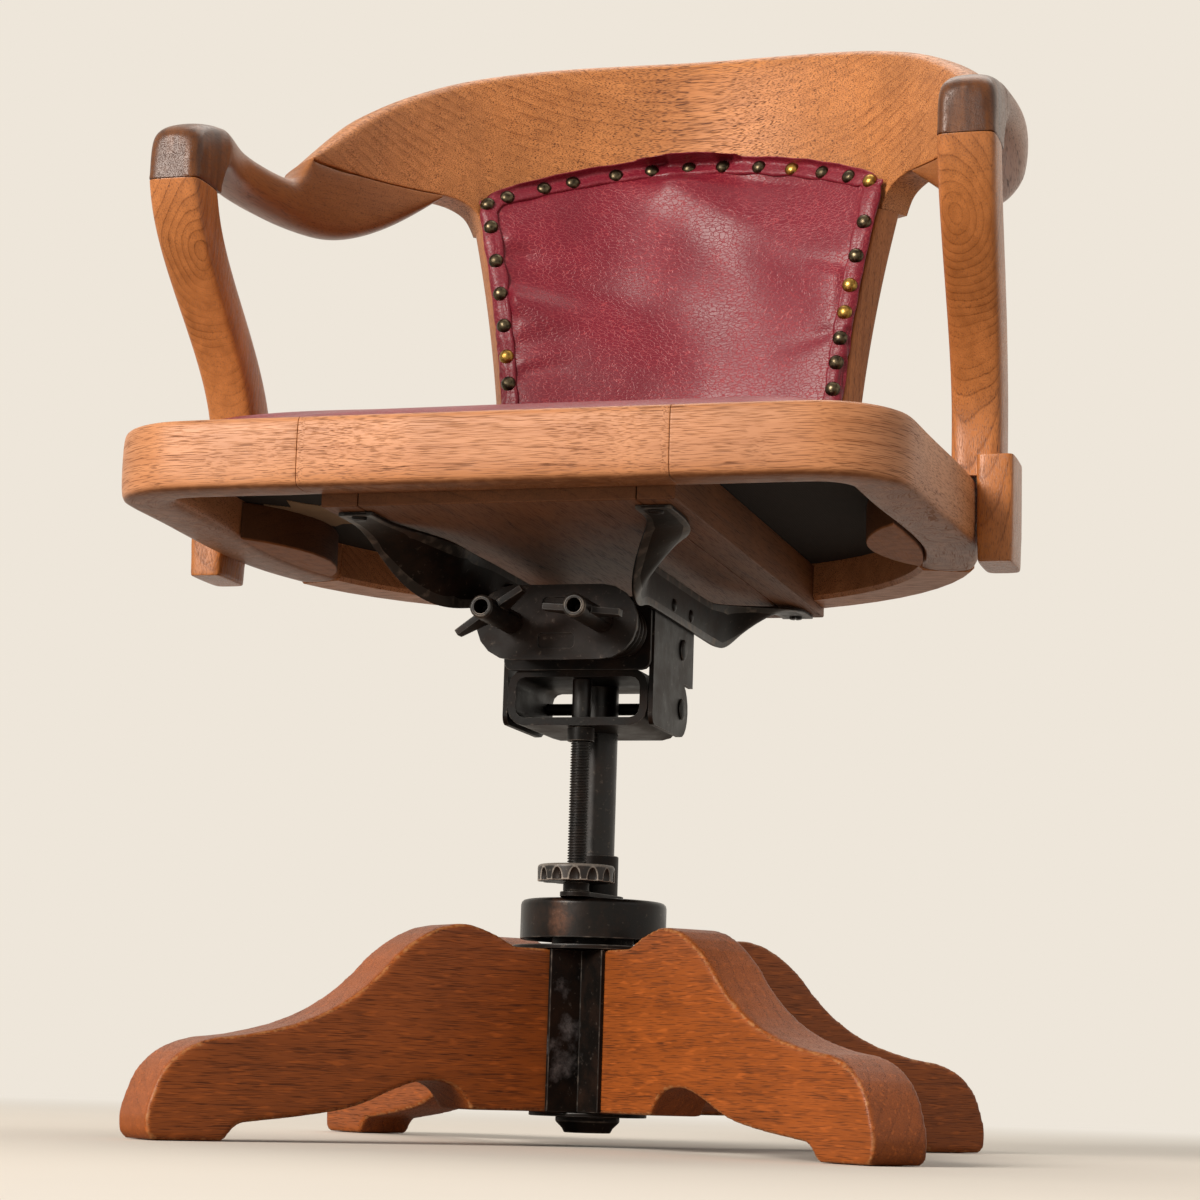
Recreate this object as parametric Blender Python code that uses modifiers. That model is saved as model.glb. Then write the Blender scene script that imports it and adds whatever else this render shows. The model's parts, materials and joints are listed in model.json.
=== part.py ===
"""Oak captain's chair that swivels, rises on a screw and tilts against two coil springs.

Metres, +Z up. The chair faces -Y and the origin is on the floor, under the swivel axis.
Every separate piece is one object. Pieces that move together hang on one empty, which
stands on the axis that they move about.
"""

import math

import bmesh
import bpy
from mathutils import Matrix, Vector

# Clearances
GAP = 0.0003  # between pieces that are glued, screwed or resting on each other
RUN = 0.0004  # round a pin or a shaft that turns or slides

# Base: four sawn legs round a steel hub, standing a little turned under the seat
BASE_TURN = math.radians(4)
LEG_REACH = 0.3345
LEG_THICKNESS = 0.042
LEG_EASE = 0.0022
LEG_SHELF = 0.130
LEG_SHELF_END = 0.074
LEG_HUMP = 0.143
LEG_HUMP_RADIUS = 0.118
LEG_TOE_TOP = 0.0665
LEG_FOOT = 0.0525
LEG_FOOT_COVE = 0.012
LEG_ARCH = 0.0405
LEG_ARCH_RADIUS = 0.1365
LEG_ROOT_BOTTOM = 0.0225
LEG_ROOT_END = 0.1045
LEG_TOE_RUN = 0.0355
LEG_HUMP_RUN = 0.0355
LEG_HUMP_START = 0.022
LEG_HUMP_DROP = 0.0035
LEG_SLOPE_SHARES = ((0.0, 0.81), (0.22, 0.43), (0.45, 0.17), (0.77, 0.0))
LEG_TOE_ROUND_SHARES = ((1.0, 0.083), (0.394, 0.278), (0.099, 0.556))
LEG_FOOT_BEVEL = 0.004
LEG_COVE_RUN = 0.019
LEG_INSTEP_SHARES = ((0.44, 0.19), (0.64, 0.39), (0.88, 0.88))
ANGLE_WIDTH = 0.027
ANGLE_WALL = 0.003
FLANGE_RADIUS = 0.0556
FLANGE_THICKNESS = 0.003
HUB_WALL = 0.003
BOTTOM_PLATE_RADIUS = 0.040
BOTTOM_PLATE_THICKNESS = 0.0027
BOTTOM_CAP_RADIUS = 0.0218
BOTTOM_CAP_HEIGHT = 0.0105
BOTTOM_STUD_RADIUS = 0.0075
BOTTOM_STUD_HEIGHT = 0.006
BOTTOM_CAP_LIP = 0.003
BOTTOM_CAP_TAPER = 0.72

# Swivel head, lift screw and post
DRUM_RADIUS = 0.050
DRUM_WALL = 0.003
DRUM_SKIRT_GAP = 0.0045
DRUM_HEIGHT = 0.027
DRUM_SHOULDER = 0.004
BEARING_RADIUS = 0.028
POST_RADIUS = 0.013
SLEEVE_WALL = 0.0026
SLEEVE_RISE = 0.031
SLEEVE_FOOT = 0.034
SCREW_RADIUS = 0.0066
SCREW_OFFSET = 0.045
SOCKET_PLATE = 0.0032
SOCKET_MARGIN = 0.004
REST_TUBE_WALL = 0.0018
REST_TUBE_HEIGHT = 0.006
WHEEL_RADIUS = 0.0262
WHEEL_HEIGHT = 0.0112
WHEEL_SCALLOPS = 13
WHEEL_SCALLOP_POINTS = 6
WHEEL_SCALLOP_DEPTH = 0.0026
SCREW_NUT_RADIUS = 0.0092
SCREW_NUT_HEIGHT = 0.0095
POST_FOOT = 0.055

# Yoke on top of the post, with the tilt axle through its sides
YOKE_HALF_WIDTH = 0.0490
YOKE_HEIGHT = 0.0385
YOKE_STRAP = 0.0055
YOKE_FRONT = -0.0570
YOKE_REAR = 0.0320
YOKE_CORNER = 0.012
AXLE_Y = 0.0205
AXLE_RISE = 0.0205
AXLE_RADIUS = 0.0042
PIN_HEAD_RADIUS = 0.0075
PIN_HEAD = 0.0025

# Tilt springs, their rods and the front cap
SPRING_SPREAD = 0.031
SPRING_RISE = 0.0415
SPRING_DROP = 0.0370
SPRING_LENGTH = 0.0465
SPRING_RADIUS = 0.0163
SPRING_WIRE = 0.0024
SPRING_CURLS = 5
POINTS_PER_CURL = 10
SPRING_PLATE = 0.0035
SPRING_PLATE_HEIGHT = 0.050
SPRING_SEAT_CORNER = 0.006
SPRING_CAP_HALF_WIDTH = 0.0555
SPRING_CAP_PRESSING = 0.0018
CAP_FIELDS_SHARES = ((0.20, 0.20, 0.33), (0.25, -0.35, -0.15))
CAP_FIELD_CORNER = 0.0025
ROD_RADIUS = 0.0042
ROD_SLACK = 0.0026
ROD_EYE_WALL = 0.0036
ROD_EYE_WIDTH = 0.009
NUT_RADIUS = 0.0078
NUT_LENGTH = 0.066
NUT_WING_REACH = 0.026
NUT_WING_HEIGHT = 0.008
NUT_WING_THICKNESS = 0.0045
NUT_WING_START = 0.030
NUT_WING_SWEEP = 0.012
NUT_WING_ROOT = 0.022
NUT_WING_BITE = 0.001
NUT_CHAMFER = 0.0012

# Tilting cheeks and the sprung brackets that carry the board
CHEEK_THICKNESS = 0.0033
CHEEK_FRONT = -0.0560
CHEEK_REAR = 0.0530
CHEEK_STEP_RISE = 0.0185
CHEEK_EAR = 0.0195
CHEEK_CORNER = 0.008
CHEEK_TOE = 0.006
BRACKET_THICKNESS = 0.0026
BRACKET_HEIGHT = 0.029
BRACKET_LAP = 0.0215
BRACKET_TAB = 0.023
BRACKET_FRONT_FLARE = 0.018
BRACKET_REAR_FLARE = 0.009
BRACKET_TAB_X = 0.0970
BRACKET_FRONT_TAB_Y = -0.225
BRACKET_REAR_TAB_Y = 0.185
BRACKET_MID_FRONT = -0.075
BRACKET_MID_REAR = 0.080

# Mounting board of three glued pieces
BOARD_LIFT = 0.015
BOARD_THICKNESS = 0.033
BOARD_HALF_WIDTH = 0.1146
BOARD_STRIP = 0.0246
BOARD_REAR = 0.208

# Seat ring of four rails, with blocks behind the arm posts
SEAT_TOP = 0.446
SEAT_LIFT = 0.0065
SEAT_THICKNESS = 0.046
SEAT_HALF_WIDTH = 0.267
SEAT_FRONT = -0.286
SEAT_TAPER = 0.0085
SEAT_CORNER = 0.060
SEAT_BACK_CENTRE = -0.050
SEAT_BACK_DEPTH = 0.278
SEAT_BACK_POWER = 2.2
SEAT_RAIL = 0.039
SEAT_FRONT_RAIL = 0.034
SEAT_EASE = 0.006
SEAT_LOW_EASE = 0.003
FRONT_JOINT_X = 0.119
BACK_JOINT_Y = 0.060
POST_BLOCK_FRONT = -0.118
POST_BLOCK_REAR = 0.036
POST_BLOCK_DEPTH = 0.027
PLATFORM_THICKNESS = 0.004
PAD_EDGE = 0.010
PAD_CROWN = 0.036
PAD_MARGIN = 0.0012
PAD_ROUND = 0.004
PAD_TUCK = 0.035

# Arm posts that lap over the side rails
ARM_POST_WIDTH = 0.0352
ARM_POST_REVEAL = 0.0085
ARM_POST_FRONT = -0.0470
ARM_POST_DEPTH = 0.042
ARM_POST_SWEEP = 0.108
ARM_POST_FLARE_IN = 0.0055
ARM_POST_FLARE_OUT = 0.0095
ARM_POST_STRAIGHT = 0.034
ARM_POST_BEND_PAST = 0.0077
ARM_POST_EDGE = 0.007
ARM_POST_SWELL = 0.005
LAP_THICKNESS = 0.0250
LAP_EDGE = 0.004
LAP_OVERHANG = 0.0035
LAP_RISE = 0.014
LAP_DROP = 0.012

# Bow of arms and crest rail, an ellipse in plan
BOW_CENTRE_Y = -0.030
BOW_SIDE_OVERHANG = 0.001
BOW_BACK_OVERHANG = 0.004
BOW_THICKNESS = 0.028
ARM_RISE = 0.2595
ARM_HEIGHT = 0.034
ARM_EASE = 0.012
ARM_LOW_EASE = 0.009
KNUCKLE_RUN = 0.120
KNUCKLE_FALL = 0.028
KNUCKLE_FILLET = 0.022
KNUCKLE_HEIGHT = 0.0582
JOINT_RISE = 0.020
SCARF_ANGLE = 71.0
SCARF_RUN = 4.6
SCARF_CURVE = 2.2
SCARF_STEP = 0.1
ARM_END_ANGLE = 43.8
ARM_LIFT_ANGLE = 66.0
ARM_LIFT_CURVE = 1.7
ARM_END_HEIGHT = 0.0018
CREST_HEIGHT = 0.1315
CREST_END_HEIGHT = 0.002
CREST_FALL_POWER = 2.5
CREST_ARCH = 0.010
CREST_EASE = 0.010
CREST_LOW_EASE = 0.0015
EAR_DROP = 0.023
EAR_INNER = 29.5
EAR_OUTER = 36.2
EAR_FILLET_END = 43.4
CREST_LEAN = 0.018
CREST_TOP_THICKNESS = 0.028

# Back stiles and the leather panel between them
STILE_WIDTH = 0.030
STILE_DEPTH = 0.024
STILE_EASE = 0.003
STILE_FOOT_SHARE = 0.485
STILE_FOOT_INSET = 0.0357
STILE_FOOT_TURN = 24.0
STILE_HEAD_ANGLE = math.radians(37.6)
STILE_HEAD_INSET = 0.0006
STILE_HEAD_TURN = 33.0
STILE_CURVE = 2.0
PANEL_INSET = 0.001
PANEL_BEHIND = 0.0006
PANEL_BORDER = 0.0040
PANEL_CROWN = 0.012
PANEL_RISE = 0.0395

# Levels that follow from the sizes above
SEAT_BOTTOM = SEAT_TOP - SEAT_THICKNESS
BOARD_BOTTOM = SEAT_BOTTOM - SEAT_LIFT
BOARD_TOP = BOARD_BOTTOM + BOARD_THICKNESS
CHEEK_TOP = BOARD_BOTTOM - BOARD_LIFT
BRACKET_BOTTOM = CHEEK_TOP - BRACKET_LAP
SPRING_Z = CHEEK_TOP - SPRING_DROP
AXLE_Z = SPRING_Z - SPRING_RISE
CHEEK_STEP = AXLE_Z + CHEEK_STEP_RISE
YOKE_BOTTOM = AXLE_Z - AXLE_RISE
LEG_ROOT = LEG_THICKNESS / 2 + GAP
HUB_RADIUS = LEG_ROOT - GAP
SLEEVE_RADIUS = POST_RADIUS + RUN + SLEEVE_WALL
FLANGE_TOP = LEG_SHELF + GAP + FLANGE_THICKNESS
DRUM_BOTTOM = FLANGE_TOP + DRUM_SKIRT_GAP
DRUM_TOP = DRUM_BOTTOM + DRUM_HEIGHT
SOCKET_TOP = DRUM_TOP + GAP + SOCKET_PLATE
WHEEL_BOTTOM = SOCKET_TOP + GAP + REST_TUBE_HEIGHT + GAP
YOKE_TOP = YOKE_BOTTOM + YOKE_HEIGHT
CHEEK_INNER = YOKE_HALF_WIDTH + RUN
CHEEK_OUTER = CHEEK_INNER + CHEEK_THICKNESS
SPRING_SEAT_REAR = YOKE_FRONT - GAP
SPRING_REAR = SPRING_SEAT_REAR - SPRING_PLATE - GAP
SPRING_FRONT = SPRING_REAR - SPRING_LENGTH
CAP_FRONT = SPRING_FRONT - GAP - SPRING_PLATE
SEAT_FRONT_HALF_WIDTH = SEAT_HALF_WIDTH - SEAT_TAPER
LAP_OUTER = SEAT_HALF_WIDTH + GAP + LAP_THICKNESS
LAP_TOP = SEAT_TOP + LAP_RISE
ARM_POST_OUTER = LAP_OUTER - ARM_POST_REVEAL
ARM_POST_INNER = ARM_POST_OUTER - ARM_POST_WIDTH
ARM_TOP = SEAT_TOP + ARM_RISE
ARM_BOTTOM = ARM_TOP - ARM_HEIGHT
ARM_POST_TOP = ARM_TOP - KNUCKLE_HEIGHT
ARM_POST_BEND_LOW = SEAT_TOP + ARM_POST_STRAIGHT
ARM_POST_BEND_HIGH = ARM_POST_TOP + ARM_POST_BEND_PAST
JOINT_Z = ARM_TOP + JOINT_RISE
CREST_TOP = JOINT_Z + CREST_HEIGHT
CREST_FALL = CREST_HEIGHT - CREST_END_HEIGHT
PANEL_TOP = JOINT_Z + PANEL_RISE
SEAT_BACK = SEAT_BACK_CENTRE + SEAT_BACK_DEPTH
BOW_INNER_X = SEAT_HALF_WIDTH + BOW_SIDE_OVERHANG
BOW_INNER_Y = SEAT_BACK + BOW_BACK_OVERHANG - BOW_CENTRE_Y
STILE_FOOT_X = STILE_FOOT_SHARE * SEAT_HALF_WIDTH
STILE_RING_DEPTH = SEAT_BACK_DEPTH * (1 - STILE_FOOT_SHARE**SEAT_BACK_POWER) ** (1 / SEAT_BACK_POWER)
STILE_FOOT_Y = SEAT_BACK_CENTRE + STILE_RING_DEPTH - STILE_FOOT_INSET
STILE_HEAD_X = BOW_INNER_X * math.sin(STILE_HEAD_ANGLE)
STILE_HEAD_Y = BOW_CENTRE_Y + BOW_INNER_Y * math.cos(STILE_HEAD_ANGLE) - STILE_HEAD_INSET


def clear_scene():
    for obj in list(bpy.data.objects):
        bpy.data.objects.remove(obj, do_unlink=True)


def new_collection(name):
    collection = bpy.data.collections.new(name)
    bpy.context.scene.collection.children.link(collection)
    return collection


def linear(value):
    return value / 12.92 if value <= 0.04045 else ((value + 0.055) / 1.055) ** 2.4


def finish(name, colour, roughness, metallic=0.0):
    """Principled material with an sRGB hex colour."""
    material = bpy.data.materials.new(name)
    material.use_nodes = True
    shader = material.node_tree.nodes["Principled BSDF"]
    rgb = [linear(int(colour[i : i + 2], 16) / 255) for i in (0, 2, 4)]
    shader.inputs["Base Color"].default_value = (*rgb, 1)
    shader.inputs["Roughness"].default_value = roughness
    shader.inputs["Metallic"].default_value = metallic
    material.diffuse_color = (*rgb, 1)
    return material


clear_scene()
CHAIR = new_collection("captains_chair")
CUTTERS = new_collection("cutters")
OAK = finish("oak_polished", "A9683A", 0.4)
OAK_DARK = finish("oak_legs", "8E4F2A", 0.42)
OAK_RAW = finish("oak_underside", "8A6244", 0.6)
LEATHER = finish("burgundy_leather", "7E2F3E", 0.38)
CLOTH = finish("black_platform_cloth", "2A2725", 0.9)
STEEL = finish("black_steel", "26211E", 0.38, 0.8)
WORN_STEEL = finish("worn_steel", "4A4038", 0.42, 0.9)
SPRING_STEEL = finish("spring_steel", "2B2624", 0.35, 0.9)


def pivot(name, location=(0, 0, 0), parent=None):
    """Empty on the axis that a moving group turns about or slides along."""
    empty = bpy.data.objects.new(name, None)
    empty.empty_display_size = 0.03
    CHAIR.objects.link(empty)
    empty.matrix_world = Matrix.Translation(location)
    if parent:
        hang(empty, parent)
    return empty


def hang(obj, parent):
    """Parents an object and keeps its place in the world."""
    bpy.context.view_layer.update()
    world = obj.matrix_world.copy()
    obj.parent = parent
    obj.matrix_parent_inverse = parent.matrix_world.inverted()
    obj.matrix_world = world


def new_piece(name, mesh, material, group, place=None):
    obj = bpy.data.objects.new(name, mesh)
    CHAIR.objects.link(obj)
    if place is not None:
        obj.matrix_world = place
    if not obj.data.materials:
        obj.data.materials.append(material)
    hang(obj, group)
    return obj


def new_cutter(name, mesh, place=None):
    obj = bpy.data.objects.new(name, mesh)
    CUTTERS.objects.link(obj)
    if place is not None:
        obj.matrix_world = place
    obj.hide_render = True
    obj.display_type = "WIRE"
    return obj


def cut(obj, *cutters):
    for cutter in cutters:
        modifier = obj.modifiers.new(cutter.name, "BOOLEAN")
        modifier.operation = "DIFFERENCE"
        modifier.solver = "EXACT"
        modifier.object = cutter
    return obj


def ease(obj, width, segments=1, angle=35):
    """Rounds the sharp edges over."""
    modifier = obj.modifiers.new("eased_edges", "BEVEL")
    modifier.width = width
    modifier.segments = segments
    modifier.limit_method = "ANGLE"
    modifier.angle_limit = math.radians(angle)
    modifier.use_clamp_overlap = True
    return obj


def facing(x_axis, y_axis, origin):
    """Matrix that lays local X and Y along two directions, with local Z square to both."""
    x = Vector(x_axis).normalized()
    y = Vector(y_axis).normalized()
    matrix = Matrix((x, y, x.cross(y))).transposed().to_4x4()
    matrix.translation = origin
    return matrix


def side_on(x):
    """Drawn in Y and Z, thick along X."""
    return facing((0, 1, 0), (0, 0, 1), (x, 0, 0))


def front_on(y):
    """Drawn in X and Z, thick along Y."""
    return facing((1, 0, 0), (0, 0, 1), (0, y, 0))


def flat_on(z):
    """Drawn in X and Y, thick along Z."""
    return Matrix.Translation((0, 0, z))


ALONG_X = Matrix.Rotation(math.radians(90), 4, "Y")
ALONG_FRONT = Matrix.Rotation(math.radians(90), 4, "X")


def curve_to_mesh(curve, name):
    """Mesh of a curve with its caps welded on."""
    guide = bpy.data.objects.new(name, curve)
    CUTTERS.objects.link(guide)
    bpy.context.view_layer.update()
    graph = bpy.context.evaluated_depsgraph_get()
    mesh = bpy.data.meshes.new_from_object(guide.evaluated_get(graph))
    bpy.data.objects.remove(guide, do_unlink=True)
    bpy.data.curves.remove(curve)
    work = bmesh.new()
    work.from_mesh(mesh)
    bmesh.ops.remove_doubles(work, verts=work.verts, dist=1e-6)
    bmesh.ops.recalc_face_normals(work, faces=work.faces)
    work.to_mesh(mesh)
    work.free()
    mesh.name = name
    return mesh


def sheet_mesh(name, outlines, thickness):
    """Flat outline, and any holes in it, extruded to a thickness. Points are (x, y)."""
    curve = bpy.data.curves.new(name, "CURVE")
    curve.dimensions = "2D"
    curve.fill_mode = "BOTH"
    curve.extrude = thickness / 2
    for outline in outlines:
        spline = curve.splines.new("POLY")
        spline.points.add(len(outline) - 1)
        for point, (x, y) in zip(spline.points, outline):
            point.co = (x, y, 0, 1)
        spline.use_cyclic_u = True
    return curve_to_mesh(curve, name)


def bezier_outline(points, resolution):
    """Points along a closed Bezier outline. A point is (x, y, smooth), and corners stay sharp."""
    curve = bpy.data.curves.new("outline", "CURVE")
    curve.dimensions = "2D"
    curve.fill_mode = "NONE"
    curve.resolution_u = resolution
    spline = curve.splines.new("BEZIER")
    spline.bezier_points.add(len(points) - 1)
    spline.use_cyclic_u = True
    for knot, (x, y, smooth) in zip(spline.bezier_points, points):
        knot.co = (x, y, 0)
        knot.handle_left_type = knot.handle_right_type = "AUTO" if smooth else "VECTOR"
    mesh = curve_to_mesh(curve, "outline")
    outline = [(vertex.co.x, vertex.co.y) for vertex in mesh.vertices]
    bpy.data.meshes.remove(mesh)
    return outline


def turned_mesh(name, profile, closed, steps=24):
    """Revolves a profile of (radius, height) about Z, run down its outer side."""
    mesh = bpy.data.meshes.new(name)
    count = len(profile)
    edges = [(i, i + 1) for i in range(count - 1)] + ([(count - 1, 0)] if closed else [])
    mesh.from_pydata([(radius, 0, height) for radius, height in profile], edges, [])
    guide = bpy.data.objects.new(name, mesh)
    CUTTERS.objects.link(guide)
    screw = guide.modifiers.new("turn", "SCREW")
    screw.steps = screw.render_steps = steps
    screw.use_merge_vertices = True
    screw.merge_threshold = 0.00001
    screw.use_smooth_shade = True
    bpy.context.view_layer.update()
    graph = bpy.context.evaluated_depsgraph_get()
    turned = bpy.data.meshes.new_from_object(guide.evaluated_get(graph))
    bpy.data.objects.remove(guide, do_unlink=True)
    bpy.data.meshes.remove(mesh)
    turned.name = name
    turned.set_sharp_from_angle(angle=math.radians(35))
    return turned


def rod_mesh(name, radius, length, steps=24):
    """Plain round bar on Z, centred on the origin."""
    half = length / 2
    return turned_mesh(name, [(0, half), (radius, half), (radius, -half), (0, -half)], False, steps)


def tube_profile(outer, inner, bottom, top):
    return [(outer, top), (outer, bottom), (inner, bottom), (inner, top)]


def arc(centre, radius, start, end, count):
    """Points on an arc, with the angles in degrees."""
    turns = [math.radians(start + (end - start) * i / (count - 1)) for i in range(count)]
    return [(centre[0] + radius * math.cos(t), centre[1] + radius * math.sin(t)) for t in turns]


def rounded_box(left, right, bottom, top, radius, count=4):
    """Rectangle with round corners."""
    return (
        arc((right - radius, top - radius), radius, 0, 90, count)
        + arc((left + radius, top - radius), radius, 90, 180, count)
        + arc((left + radius, bottom + radius), radius, 180, 270, count)
        + arc((right - radius, bottom + radius), radius, 270, 360, count)
    )


def stadium(centre, half_width, height, count=10):
    """Slot shape with round ends, its length along X."""
    radius = height / 2
    reach = half_width - radius
    right = arc((centre[0] + reach, centre[1]), radius, -90, 90, count)
    left = arc((centre[0] - reach, centre[1]), radius, 90, 270, count)
    return right + left


def circle(centre, radius, count=20):
    return arc(centre, radius, 0, 360 - 360 / count, count)


def smooth_step(value):
    """Half a cosine from 0 to 1, flat at both ends."""
    value = min(max(value, 0), 1)
    return (1 - math.cos(math.pi * value)) / 2


def blend(a, b, share):
    return a + (b - a) * share


def loft_mesh(name, rings, twisted=False):
    """Skins rings of equally many points, and closes both ends. A twisted skin is split into triangles."""
    work = bmesh.new()
    loops = [[work.verts.new(point) for point in ring] for ring in rings]
    count = len(rings[0])
    for low, high in zip(loops, loops[1:]):
        for i in range(count):
            j = (i + 1) % count
            work.faces.new((low[i], low[j], high[j], high[i]))
    work.faces.new(reversed(loops[0]))
    work.faces.new(loops[-1])
    bmesh.ops.recalc_face_normals(work, faces=work.faces)
    if twisted:
        bmesh.ops.triangulate(work, faces=work.faces)
    mesh = bpy.data.meshes.new(name)
    work.to_mesh(mesh)
    work.free()
    mesh.shade_smooth()
    mesh.set_sharp_from_angle(angle=math.radians(40))
    return mesh


def wood_section(inner, outer, bottom, top, low_ease, high_ease, high_points=4):
    """Rounded section of a shaped rail, as (offset, height) points. Radii fit the section."""
    most = 0.49 * min(outer - inner, top - bottom)
    low = min(low_ease, most)
    high = min(high_ease, most)
    low_points = high_points - 1
    return (
        arc((outer - high, top - high), high, 0, 90, high_points)
        + arc((inner + high, top - high), high, 90, 180, high_points)
        + arc((inner + low, bottom + low), low, 180, 270, low_points)
        + arc((outer - low, bottom + low), low, 270, 360, low_points)
    )


SIDES = (("left", -1), ("right", 1))

base = pivot("base")
swivel = pivot("swivel_axis", (0, 0, FLANGE_TOP), base)
handwheel = pivot("handwheel_axis", (0, -SCREW_OFFSET, WHEEL_BOTTOM), swivel)
column = pivot("column_slide", (0, 0, DRUM_TOP), swivel)
seat = pivot("tilt_axis", (0, AXLE_Y, AXLE_Z), column)
rods = pivot("rod_pin_axis", (0, AXLE_Y, SPRING_Z), seat)
spring_cap = pivot("cap_slide", (0, CAP_FRONT, SPRING_Z), rods)


def leg_outline():
    """Side of a leg as (reach, height): shelf and hump by the hub, long slope, toe, foot and arch."""
    tip = LEG_REACH
    hump_end = LEG_HUMP_RADIUS + LEG_HUMP_RUN
    run = tip - LEG_TOE_RUN - hump_end
    fall = LEG_HUMP - LEG_TOE_TOP
    foot_inner = tip - LEG_FOOT
    slope = foot_inner - LEG_ARCH_RADIUS
    rise = LEG_ARCH - LEG_FOOT_COVE
    knots = [
        (LEG_ROOT, LEG_SHELF, False),
        (LEG_SHELF_END, LEG_SHELF, False),
        (LEG_HUMP_RADIUS - LEG_HUMP_START, LEG_HUMP - LEG_HUMP_DROP, True),
        (LEG_HUMP_RADIUS, LEG_HUMP, True),
    ]
    knots += [(hump_end + u * run, LEG_TOE_TOP + v * fall, True) for u, v in LEG_SLOPE_SHARES]
    knots += [(tip - u * LEG_TOE_RUN, LEG_TOE_TOP * (1 - v), True) for u, v in LEG_TOE_ROUND_SHARES]
    knots += [
        (tip, 1.5 * LEG_FOOT_BEVEL, True),
        (tip - LEG_FOOT_BEVEL, 0, False),
        (foot_inner, 0, False),
        (foot_inner - LEG_COVE_RUN / 2, LEG_FOOT_COVE - LEG_FOOT_BEVEL / 2, True),
        (foot_inner - LEG_COVE_RUN, LEG_FOOT_COVE, False),
    ]
    knots += [(foot_inner - u * slope, LEG_FOOT_COVE + v * rise, True) for u, v in LEG_INSTEP_SHARES]
    knots += [
        (LEG_ARCH_RADIUS, LEG_ARCH, True),
        (LEG_ARCH_RADIUS - LEG_COVE_RUN, LEG_ARCH - LEG_HUMP_DROP, True),
        (LEG_ROOT_END + LEG_FOOT_BEVEL / 2, LEG_ROOT_BOTTOM + LEG_FOOT_BEVEL, False),
        (LEG_ROOT_END, LEG_ROOT_BOTTOM, False),
        (LEG_ROOT, LEG_ROOT_BOTTOM, False),
    ]
    return bezier_outline(knots, 3)


def build_legs():
    outline = leg_outline()
    corners = ("back_right", "back_left", "front_left", "front_right")
    for index, corner in enumerate(corners):
        turn = BASE_TURN + math.radians(45 + 90 * index)
        reach = (math.cos(turn), math.sin(turn), 0)
        name = "leg_" + corner
        mesh = sheet_mesh(name, [outline], LEG_THICKNESS)
        leg = new_piece(name, mesh, OAK_DARK, base, facing(reach, (0, 0, 1), (0, 0, 0)))
        ease(leg, LEG_EASE, angle=60)


def build_hub():
    start = LEG_THICKNESS / 2 + GAP
    bend = start + ANGLE_WALL
    end = start + ANGLE_WIDTH
    outline = [(start, start), (end, start), (end, bend), (bend, bend), (bend, end), (start, end)]
    height = LEG_SHELF - LEG_ROOT_BOTTOM
    middle = (LEG_SHELF + LEG_ROOT_BOTTOM) / 2
    for index, side in enumerate(("back", "left", "front", "right")):
        turn = BASE_TURN + math.radians(45 + 90 * index)
        along = (math.cos(turn), math.sin(turn), 0)
        across = (-math.sin(turn), math.cos(turn), 0)
        name = "hub_angle_" + side
        mesh = sheet_mesh(name, [outline], height)
        new_piece(name, mesh, STEEL, base, facing(along, across, (0, 0, middle)))

    profile = tube_profile(HUB_RADIUS, HUB_RADIUS - HUB_WALL, LEG_ROOT_BOTTOM, LEG_SHELF)
    new_piece("hub_tube", turned_mesh("hub_tube", profile, True), STEEL, base)

    hole = SLEEVE_RADIUS + RUN
    profile = tube_profile(FLANGE_RADIUS, hole, LEG_SHELF + GAP, FLANGE_TOP)
    new_piece("hub_top_flange", turned_mesh("hub_top_flange", profile, True, 32), STEEL, base)

    top = LEG_ROOT_BOTTOM - GAP
    bottom = top - BOTTOM_PLATE_THICKNESS
    profile = tube_profile(BOTTOM_PLATE_RADIUS, BOTTOM_STUD_RADIUS + GAP, bottom, top)
    new_piece("hub_bottom_plate", turned_mesh("hub_bottom_plate", profile, True), STEEL, base)

    shoulder = bottom - GAP
    foot = shoulder - BOTTOM_CAP_HEIGHT
    profile = [
        (0, top + BOTTOM_STUD_HEIGHT),
        (BOTTOM_STUD_RADIUS, top + BOTTOM_STUD_HEIGHT),
        (BOTTOM_STUD_RADIUS, shoulder),
        (BOTTOM_CAP_RADIUS, shoulder),
        (BOTTOM_CAP_RADIUS, shoulder - BOTTOM_CAP_LIP),
        (BOTTOM_CAP_RADIUS * (BOTTOM_CAP_TAPER + 0.07), foot + BOTTOM_CAP_LIP),
        (BOTTOM_CAP_RADIUS * BOTTOM_CAP_TAPER, foot),
        (0, foot),
    ]
    new_piece("hub_bottom_cap", turned_mesh("hub_bottom_cap", profile, False), STEEL, base)

    bore = SLEEVE_RADIUS + RUN
    roof = DRUM_TOP - DRUM_WALL - GAP
    profile = tube_profile(BEARING_RADIUS, bore, FLANGE_TOP + GAP, roof)
    new_piece("swivel_bearing", turned_mesh("swivel_bearing", profile, True), WORN_STEEL, base)


def link_outline(big, small, distance):
    """Outline round two circles, the big one on the origin and the small one in front of it."""
    tilt = math.degrees(math.asin((big - small) / distance))
    rear = arc((0, 0), big, -tilt, 180 + tilt, 18)
    front = arc((0, -distance), small, 180 + tilt, 360 - tilt, 14)
    return rear + front


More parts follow.
